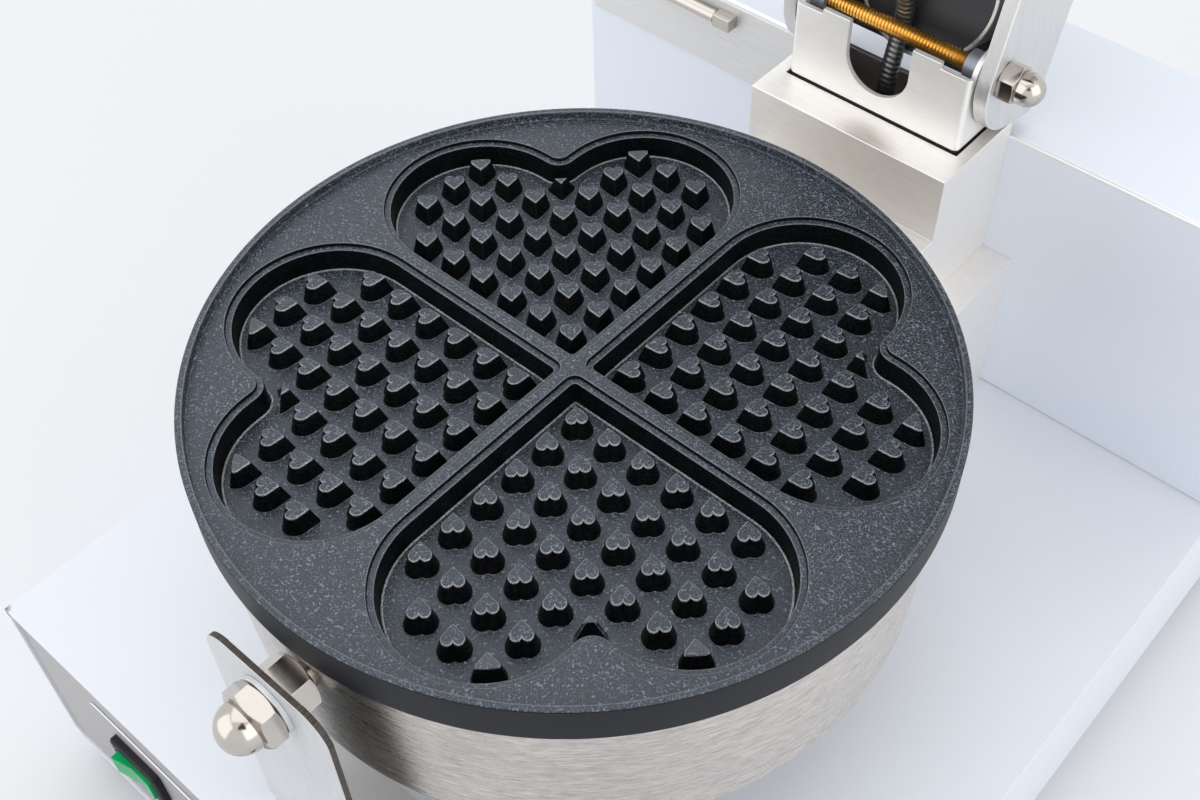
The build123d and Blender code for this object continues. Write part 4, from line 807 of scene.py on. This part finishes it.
def held_inside(x, y, inset):
    """The point itself, or the nearest one on the heart's wall line drawn in by inset."""
    near, far, lobe, radius, cleft = wall_line(inset)
    if far < x < far + cleft and far < y < far + cleft:
        away = Vector((x - far - cleft, y - far - cleft))
        if away.length >= cleft:
            return x, y
        away = away.normalized() * cleft
        return far + cleft + away.x, far + cleft + away.y
    best = None
    for swap in (False, True):
        u, v = (y, x) if swap else (x, y)
        if u <= lobe:
            held = (max(u, near), min(max(v, near), far))
        else:
            out = Vector((u - lobe, v - near - radius))
            if out.length > radius:
                out = out.normalized() * radius
            held = (lobe + out.x, near + radius + out.y)
        distance = hypot(held[0] - u, held[1] - v)
        if best is None or distance < best[0]:
            best = (distance, (held[1], held[0]) if swap else held)
    return best[1]


def stands_clear(spot, inset):
    """Whether a point lies within the heart's wall line drawn in by inset."""
    held = held_inside(spot.x, spot.y, inset)
    return hypot(held[0] - spot.x, held[1] - spot.y) < 1e-6


def stud_outline(grow, steps):
    """Outline of a stud that stands out by some millimetres from its top: two lobes and a rounded tip."""
    half = stud_lobe / 2
    lobe = half + grow
    far = stud_size - half
    cleft = 135 - degrees(acos(min(1, (far - half) / sqrt(2) / lobe)))
    tip = 0.45 + 0.3 * grow
    points = (arc(far, half, lobe, -90, cleft, 4 * steps)
              + arc(half, far, lobe, 90 - cleft, 180, 4 * steps, start=1)
              + arc(tip - grow, tip - grow, tip, 180, 270, steps))
    outline = []
    for x, y in points:
        ahead = stud_middle + ((x + y) / sqrt(2) - stud_middle) * stud_long
        aside = (x - y) / sqrt(2) * stud_narrow
        outline.append(((ahead + aside) / sqrt(2), (ahead - aside) / sqrt(2)))
    return outline


def stud_inset(z):
    """How far inside the heart's wall line the field of studs is trimmed, at a height above the floor."""
    return stud_margin - stud_spread * (1 - z / stud_height)


def trimmed_spot(tip, spot, inset):
    """The outermost point between the stud's tip and a point of its outline that stands clear."""
    if stands_clear(spot, inset):
        return spot
    near, far = 0.0, 1.0
    for attempt in range(14):
        share = (near + far) / 2
        if stands_clear(tip.lerp(spot, share), inset):
            near = share
        else:
            far = share
    return tip.lerp(spot, near)


def stud_shape(place=None):
    """A small heart stud with a drafted wall and a crisp top; with a place it is trimmed at the wall."""
    shape = bmesh.new()
    rings = []
    for z, grow in stud_levels:
        outline = stud_outline(grow, 6 if place else 2)
        if place:
            tip = Vector(place) + Vector((0.3, 0.3))
            outline = [tuple(trimmed_spot(tip, Vector((place[0] + x, place[1] + y)), stud_inset(z)))
                       for x, y in outline]
        rings.append([shape.verts.new((x * MM, y * MM, z * MM)) for x, y in outline])
    for low, high in zip(rings, rings[1:]):
        band(shape, low, high)
    shape.faces.new(rings[-1])
    bmesh.ops.remove_doubles(shape, verts=shape.verts, dist=1e-6)
    bmesh.ops.recalc_face_normals(shape, faces=shape.faces)
    return shape


def stud_whole(place):
    """Whether no corner of the stud's foot or top meets the line that trims the field."""
    for z, grow in (stud_levels[1], stud_levels[-1]):
        for x, y in stud_outline(grow, 2):
            if not stands_clear(Vector((place[0] + x, place[1] + y)), stud_inset(z) - 0.05):
                return False
    return True


grid = [stud_start + stud_pitch * index for index in range(7)]
stud_places = [(x, y) for x in grid for y in grid if stands_clear(Vector((x, y)), stud_margin)]


def stud_field_tree():
    """Stands a stud on every point of a mesh, turned about the plate's axis by the point's own turn."""
    group = bpy.data.node_groups.new("stud_field", "GeometryNodeTree")
    for name, kind in (("Places", "Geometry"), ("Stud", "Object"), ("Coat", "Material")):
        group.interface.new_socket(name, in_out="INPUT", socket_type="NodeSocket" + kind)
    group.interface.new_socket("Field", in_out="OUTPUT", socket_type="NodeSocketGeometry")
    nodes = Nodes(group)
    given = nodes.node("NodeGroupInput").outputs
    stud = nodes.node("GeometryNodeObjectInfo", {}, {"Object": given["Stud"]})
    turn = nodes.node("GeometryNodeInputNamedAttribute", {"data_type": "FLOAT_VECTOR"}, {"Name": "turn"})
    stand = nodes.node("GeometryNodeInstanceOnPoints", {}, {
        "Points": given["Places"], "Instance": stud.outputs["Geometry"],
        "Rotation": turn.outputs["Attribute"]
    })
    real = nodes.node("GeometryNodeRealizeInstances", {}, {"Geometry": stand.outputs["Instances"]})
    coated = nodes.node("GeometryNodeSetMaterial", {}, {
        "Geometry": real.outputs["Geometry"], "Material": given["Coat"]
    })
    nodes.node("NodeGroupOutput", {}, {"Field": coated.outputs["Geometry"]})
    return group


def named_input(group, name):
    return next(item.identifier for item in group.interface.items_tree
                if item.item_type == "SOCKET" and item.in_out == "INPUT" and item.name == name)


coat_tint = (0.84, 0.91, 1.0, 1)


def non_stick_coat(name, deep, skin, flake, roughness, sheen=0.9, metallic=0.0):
    """Sprayed coat: a skin of fine worm shaped ripples with tiny grey flecks in it."""
    spray = Finish(name, Metallic=metallic, **{"Specular IOR Level": sheen, "Specular Tint": coat_tint})
    flecks = spray.ramp(spray.cells(640.0), [(0.0, 1.0), (0.20, 0.0)])
    worms = spray.ramp(spray.noise(900.0, 0.0), [(0.44, 0.0), (0.485, 1.0), (0.515, 1.0), (0.56, 0.0)])
    grain = spray.ramp(spray.noise(1500.0, 2.0, 0.6), [(0.35, 0.0), (0.68, 1.0)])
    rippled = spray.blend(0.85 * worms * (0.45 + 0.55 * grain) + 0.1 * grain, deep, skin)
    spray.set("Base Color", spray.blend(0.6 * flecks * grain, rippled, flake))
    spray.set("Roughness", roughness + 0.14 * grain)
    spray.bump(worms + 0.5 * grain, 0.00012)
    return spray


coat = non_stick_coat("coat", (0.0018, 0.0023, 0.0033), (0.225, 0.270, 0.345), (0.46, 0.52, 0.61), 0.33, 0.8)
# The stud tops get a lighter copy of the coat as painted light, since they catch more light than the floor.
lit_top_coat = non_stick_coat("lit_top_coat", (0.022, 0.025, 0.029), (0.20, 0.21, 0.23), (0.45, 0.47, 0.50), 0.30)
# A lighter copy of the coat is a painted highlight on the rim's inner arrises and the edges of the recesses
# and ledges.
soft_arris = non_stick_coat("soft_arris", (0.10, 0.105, 0.115), (0.22, 0.23, 0.25), (0.45, 0.47, 0.50), 0.28)
# A brighter, glossier copy of the coat is a painted highlight on the stud tops' edges and the fillets round
# their feet.
highlight_arris = non_stick_coat("highlight_arris", (0.24, 0.245, 0.255), (0.40, 0.41, 0.43), (0.62, 0.63, 0.65),
                              0.24, 1.0, 0.5)
# A near black copy of the coat is a painted shade on the walls of the studs and recesses.
wall_shade_coat = non_stick_coat("wall_shade_coat", (0.0012, 0.0014, 0.0018), (0.004, 0.0046, 0.0054),
                           (0.02, 0.02, 0.02), 0.34, 0.14)
side_coat = dull_finish("side_coat", (0.0055, 0.0065, 0.0085), 0.40, 900.0, 0.00003)
side_coat.set("Specular IOR Level", 0.17)
plate_coats = (coat, soft_arris, lit_top_coat, wall_shade_coat, highlight_arris, side_coat)
face_slot, arris_slot, top_slot, wall_slot, highlight_slot, side_slot = range(len(plate_coats))
stud_tree = stud_field_tree()


def rim_slot(rim, index):
    """The coat of a band of the rim: a painted highlight on the small inner arrises, smooth on the upright
    side.
    """
    (near, low), (far, high) = rim[index:index + 2]
    small = hypot(far - near, high - low) < 0.6
    if small and min(low, high) > -0.6 and near < lip_inner + 1:
        return arris_slot
    return side_slot if far > plate_radius - 0.1 else face_slot


def plate_body(face, rim):
    """Plate with its four recesses, in the head's own frame; the studs are set in afterwards."""
    shape = bmesh.new()
    rings = [ring_of(shape, radius * MM, height * MM, rim_segments) for radius, height in rim]
    for index, (low, high) in enumerate(zip(rings, rings[1:])):
        for facet in band(shape, low, high):
            facet.material_index = rim_slot(rim, index)
    ledge = face - step_depth
    floor = face - recess_depth
    draft = tan(radians(wall_draft))
    foot_inset = ledge_width + (recess_depth - step_depth) * draft
    edge_levels = [(face, -edge_round), (face - edge_shoulder, -edge_shoulder), (face - edge_round, 0.0)]
    ledge_levels = [
        (ledge + 0.30, 0.0), (ledge + 0.06, 0.10), (ledge, 0.35), (ledge, ledge_width - edge_round),
        (ledge - edge_shoulder, ledge_width - edge_shoulder), (ledge - edge_round, ledge_width + 0.02)
    ]
    foot_levels = [
        (floor + foot_round, foot_inset - foot_round * draft),
        (floor + foot_shoulder, foot_inset + foot_shoulder), (floor, foot_inset + foot_round)
    ]
    face_loops = [rings[0]]
    for quarter in range(4):
        spin = Matrix.Rotation(pi / 2 * quarter, 2)
        walls = []
        for z, inset in edge_levels + ledge_levels + foot_levels:
            line = [spin @ Vector(point) * MM for point in recess_line(inset)]
            walls.append([shape.verts.new((*point, z * MM)) for point in line])
        face_loops.append(walls[0])
        # The rounded edges of each recess and of its ledge take the arris coat, a painted highlight.
        for level, (high, low) in enumerate(zip(walls, walls[1:])):
            for facet in band(shape, low, high):
                facet.material_index = arris_slot if level in (0, 1, 6, 7) else face_slot
        shape.faces.new(walls[-1])
    edges = []
    for loop in face_loops:
        for first, second in zip(loop, loop[1:] + loop[:1]):
            edges.append(shape.edges.get((first, second)) or shape.edges.new((first, second)))
    bmesh.ops.triangle_fill(shape, use_beauty=True, use_dissolve=False, edges=edges)
    bmesh.ops.recalc_face_normals(shape, faces=shape.faces)
    return shape


def stud_field(name, places):
    """The whole studs of a plate as one bmesh, from the place and turn of each."""
    points = bpy.data.meshes.new(name + "_places")
    points.from_pydata([place for place, turn in places], [], [])
    turns = points.attributes.new("turn", "FLOAT_VECTOR", "POINT")
    turns.data.foreach_set("vector", [value for place, turn in places for value in (0.0, 0.0, turn)])
    single = add_piece(name + "_stud", plain_mesh(name + "_stud", stud_shape()), coat)
    field = add_piece(name + "_field", points, coat)
    grow = field.modifiers.new("studs", "NODES")
    grow.node_group = stud_tree
    grow[named_input(stud_tree, "Stud")] = single
    grow[named_input(stud_tree, "Coat")] = coat.material
    set_firm(field)
    studs = bmesh.new()
    studs.from_mesh(field.data)
    bpy.data.objects.remove(field)
    bpy.data.objects.remove(single)
    return studs


def plate_piece(name, face, rim, seat, body, node):
    floor = (face - recess_depth) * MM
    shapes = [plate_body(face, rim)]
    whole = []
    for quarter in range(4):
        spin = Matrix.Rotation(pi / 2 * quarter, 4, "Z")
        for place in stud_places:
            if stud_whole(place):
                whole.append((spin @ Vector((place[0] * MM, place[1] * MM, floor)), pi / 2 * quarter))
            else:
                shapes.append(place_shape(stud_shape(place), spin @ Matrix.Translation((0, 0, floor))))
    shapes.append(stud_field(name, whole))
    piece = add_piece(name, joined_mesh(name, shapes), coat)
    for finish in plate_coats[1:]:
        piece.data.materials.append(finish.material)
    # Stud tops get the lighter top coat as painted light, their top edges and the fillets round their feet a
    # painted highlight, and the walls a painted shade.
    for facet in piece.data.polygons:
        above_floor = (facet.center.z - floor) / MM
        upward = facet.normal.z
        if stud_top < above_floor < stud_top + 0.5 and upward > 0.2:
            facet.material_index = top_slot if upward > 0.98 else highlight_slot
        elif facet.center.xy.length > wall_reach * MM:
            continue
        elif abs(above_floor) < 0.2 and 0.3 < upward < 0.95:
            facet.material_index = highlight_slot
        elif above_floor > 0 and abs(upward) < 0.5:
            facet.material_index = wall_slot
    piece.data.transform(seat)
    round_off(piece, 0, 1, 50)
    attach(piece, body)
    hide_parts(node)


outer_side = [
    (plate_radius - 0.55, -rim_gap), (plate_radius - 0.15, -0.18), (plate_radius, -0.55),
    (plate_radius, rim_foot + 0.6), (plate_radius - 0.2, rim_foot + 0.15), (plate_radius - 0.6, rim_foot),
    (band_inner, rim_foot), (band_inner, spigot_foot), (0, spigot_foot)
]
lower_rim = [
    (lip_inner - 0.5, -lip_height), (lip_inner - 0.14, -lip_height + 0.14), (lip_inner, -lip_height + 0.5),
    (lip_inner, -0.45), (lip_inner + 0.12, -0.14), (lip_inner + 0.45, -rim_gap)
] + outer_side
upper_rim = [
    (nest_radius - 0.5, nest_height), (nest_radius - 0.14, nest_height - 0.14),
    (nest_radius, nest_height - 0.5), (nest_radius, 0.4), (nest_radius + 0.12, 0.1),
    (nest_radius + 0.4, -rim_gap)
] + outer_side
plate_piece("lower_plate_cast", -lip_height, lower_rim, lower_seat, "base", "lower_plate")
plate_piece("upper_plate_cast", nest_height, upper_rim, upper_seat, "lid", "upper_plate")


# Inside the drums: pressed elements with heat tints, steel clamp rings and mineral wool, drawn
# against the plates by long tie bolts.
def mottled_metal(name, scale, dark, light, roughness, spread, metallic=1.0):
    """Metal whose colour and gloss wander together."""
    metal = Finish(name, Metallic=metallic)
    mottle = metal.noise(scale, 3.0)
    metal.set("Base Color", metal.blend(mottle, dark, light))
    metal.set("Roughness", roughness + spread * mottle)
    return metal


element_finish = mottled_metal("element_finish", 40.0, (0.16, 0.13, 0.12), (0.34, 0.28, 0.24), 0.4, 0.2, 0.9)
wool_finish = Finish("wool_finish", Roughness=0.9)
fibres = wool_finish.noise(700.0, 4.0, 0.7)
wool_finish.set("Base Color", wool_finish.blend(fibres, (0.62, 0.60, 0.52), (0.82, 0.80, 0.73)))
wool_finish.bump(fibres, 0.0004, 0.8)
for head in ("lower", "upper"):
    dressed(head + "_element", element_finish)
    dressed(head + "_clamp", control_metal)
    dressed(head + "_insulation", wool_finish)
    dressed(head + "_tie_bolts", bolt_steel)


# Hinge rod: threaded rod, yellow passivated, with a full thread between the bracket's ears and
# plain ends under the nuts.
thread_pitch = 1.25 * MM
thread_depth = 0.6 * MM
thread_reach = 29.0 * MM
pin_low, pin_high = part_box("hinge_pin")
pin_radius = (pin_high.z - pin_low.z) / 2


def threaded_rod(radius, pitch, depth, low, high, around=24, per_pitch=6):
    """Rod along Z whose mesh winds with its single thread between low and high."""
    shape = bmesh.new()
    spots = {}

    def spot(index, step):
        z = low + pitch * (index / per_pitch - 1 + step / around)
        reach = radius - depth * abs(2 * (index % per_pitch) / per_pitch - 1)
        if not low < z < high:
            z = min(max(z, low), high)
            reach = radius - depth
        angle = 2 * pi * step / around
        place = (round(reach * cos(angle), 7), round(reach * sin(angle), 7), round(z, 7))
        if place not in spots:
            spots[place] = shape.verts.new(place)
        return spots[place]

    count = int((high - low) / pitch + 2) * per_pitch
    for index in range(count):
        for step in range(around):
            beside, turned_step = (index + per_pitch, 0) if step == around - 1 else (index, step + 1)
            corners = (spot(index, step), spot(beside, turned_step),
                       spot(beside + 1, turned_step), spot(index + 1, step))
            corners = list(dict.fromkeys(corners))
            if len(corners) > 2 and not shape.faces.get(corners):
                shape.faces.new(corners)
    bmesh.ops.holes_fill(shape, edges=[edge for edge in shape.edges if edge.is_boundary], sides=0)
    bmesh.ops.recalc_face_normals(shape, faces=shape.faces)
    return shape


rod_gold = mottled_metal("rod_gold", 70.0, (0.80, 0.40, 0.07), (0.93, 0.57, 0.15), 0.26, 0.14)
rod_shapes = [threaded_rod(pin_radius, thread_pitch, thread_depth, -thread_reach, thread_reach)]
for start, end in ((pin_low.x, -thread_reach), (thread_reach, pin_high.x)):
    rod_shapes.append(turned([(0, start), (pin_radius, start), (pin_radius, end), (0, end)], 32))
fitted("hinge_rod", [place_shape(shape, along((1, 0, 0), hinge)) for shape in rod_shapes],
       rod_gold, "lid", "hinge_pin", angle=70)


# Acorn nuts and washers at the ends of the rod: the nuts are nickel plated like the one at the
# front, and hold the two arms on the rod.
nut_across = 12.0 * MM
nut_height = 6.0 * MM
nut_dome = 5.6 * MM
nut_neck = 2.4 * MM
nut_foot = 40.3 * MM
nut_shapes = []
for side in (-1, 1):
    seat = along((side, 0, 0), Vector((side * nut_foot, hinge.y, hinge.z)))
    nut_shapes.append(place_shape(hexagon_nut(nut_across, nut_height, 2 * MM), seat))
    nut_shapes.append(place_shape(dome(nut_dome, nut_height, nut_neck), seat))
fitted("hinge_nuts_polished", nut_shapes, nickel, "lid", "hinge_nuts", arris=0.1 * MM)
dressed("hinge_washers", washer_zinc)


# Arms: thick stainless plate, brushed lengthwise, with a painted highlight on the rounded arris. Between
# them a dark cross plate carries a black disc in a bright cup, and a plate is bolted to the drum.
arm_lean = radians(-14.3)
arm_steel = brushed_steel("arm_steel", (1, 1, 0.03), (0.78, 0.775, 0.765), (0.66, 0.655, 0.645), 0.36, 0.75,
                          turn=(arm_lean, 0, 0))
softened("left_arm", arm_steel, 0.4 * MM, "lid", arris_finish=arris_highlight_steel)
softened("right_arm", arm_steel, 0.4 * MM, "lid", arris_finish=arris_highlight_steel)
bridge_dark = satin_sheet("bridge_dark", (0.035, 0.037, 0.04), (0.06, 0.062, 0.068), 0.6, 0.38)
softened("arm_bridge", bridge_dark, 0.4 * MM, "lid")
cup_steel = brushed_steel("cup_steel", (1, 1, 1), roughness=0.3)
softened("buffer_cup", cup_steel, 0.4 * MM, "lid", limit=50)
buffer_black = dull_finish("buffer_black", (0.035, 0.037, 0.042), 0.42, 400.0, 0.00006)
dressed("lid_buffer", buffer_black)
softened("head_plate", arm_steel, 0.4 * MM, "lid")
dressed("head_bolts", bolt_steel)


# Handle: a black moulded grip on a flat steel bracket, which is screwed to the front of the upper
# drum.
grip_black = dull_finish("grip_black", (0.015, 0.015, 0.016), 0.35, 800.0, 0.00005)
smooth(dressed("handle_grip", grip_black), 60)
dressed("handle_bracket", arm_steel)
dressed("handle_screws", bolt_steel)


# Hose: wound strip steel, dark, with a turn every two millimetres or so. It comes up out of the tower
# behind the hinge rod and goes into the gland on the lid.
hose_radius = 3.25 * MM
hose_pitch = 1.9 * MM
hose_groove = 0.3 * MM
hose_x = -3.0 * MM
hose_points = [
    (hose_x, 0.16405, 0.174), (hose_x, 0.16405, 0.205), (hose_x, 0.16405, 0.233),
    (hose_x, 0.1685, 0.250), (hose_x, 0.1694, 0.260), (hose_x, 0.1650, 0.2795),
    (hose_x, 0.1680, 0.2925), (hose_x, 0.16950, 0.3028)
]

hose_curve = bpy.data.curves.new("hose_line", "CURVE")
hose_curve.dimensions = "3D"
hose_curve.resolution_u = 24
spline = hose_curve.splines.new("NURBS")
spline.points.add(len(hose_points) - 1)
for point, place in zip(spline.points, hose_points):
    point.co = (*place, 1)
spline.order_u = 3
spline.use_endpoint_u = True
hose_line = bpy.data.objects.new("hose_line", hose_curve)
bpy.context.scene.collection.objects.link(hose_line)
bpy.context.view_layer.update()
line_mesh = bpy.data.meshes.new_from_object(hose_line.evaluated_get(bpy.context.evaluated_depsgraph_get()))
line_points = [vertex.co.copy() for vertex in line_mesh.vertices]
bpy.data.objects.remove(hose_line)


def wound_hose(points, radius, pitch, groove, around=20, per_turn=6):
    """Tube along points whose radius rises and falls on a helix, like wound strip."""
    lengths = [0.0]
    for first, second in zip(points, points[1:]):
        lengths.append(lengths[-1] + (second - first).length)
    total = lengths[-1]
    count = int(total / pitch * per_turn)
    shape = bmesh.new()
    rings = []
    segment = 0
    for index in range(count + 1):
        place = total * index / count
        while segment < len(points) - 2 and lengths[segment + 1] < place:
            segment += 1
        share = (place - lengths[segment]) / (lengths[segment + 1] - lengths[segment])
        centre = points[segment].lerp(points[segment + 1], share)
        ahead = (points[min(segment + 2, len(points) - 1)] - points[max(segment - 1, 0)]).normalized()
        side = Vector((1, 0, 0))
        other = ahead.cross(side).normalized()
        ring = []
        for step in range(around):
            angle = 2 * pi * step / around
            phase = (place / pitch + step / around) % 1.0
            swell = radius - groove * (1 - sin(pi * phase) ** 0.6)
            ring.append(shape.verts.new(centre + (side * cos(angle) + other * sin(angle)) * swell))
        rings.append(ring)
    for low, high in zip(rings, rings[1:]):
        band(shape, low, high)
    shape.faces.new(rings[0])
    shape.faces.new(rings[-1])
    bmesh.ops.recalc_face_normals(shape, faces=shape.faces)
    return shape


hose_dark = mottled_metal("hose_dark", 300.0, (0.16, 0.16, 0.165), (0.34, 0.34, 0.345), 0.25, 0.2, 0.9)
hose_shape = wound_hose(line_points, hose_radius, hose_pitch, hose_groove)
hose = add_piece("lid_hose", plain_mesh("lid_hose", hose_shape), hose_dark)
smooth(hose, 60)
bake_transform(hose)
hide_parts("conduit")
dressed("hose_gland", bolt_steel)


# Strip: a narrow flat of brushed stainless on the face of the raised box, left of the tower, with a
# bright bolt lying along it.
strip_steel = brushed_steel("strip_steel", (0.03, 1, 1), (0.78, 0.775, 0.77), (0.68, 0.675, 0.67), 0.38, 0.5)
softened("rear_strip", strip_steel, 0.3 * MM)
softened("strip_bolt", nickel, 0.3 * MM)
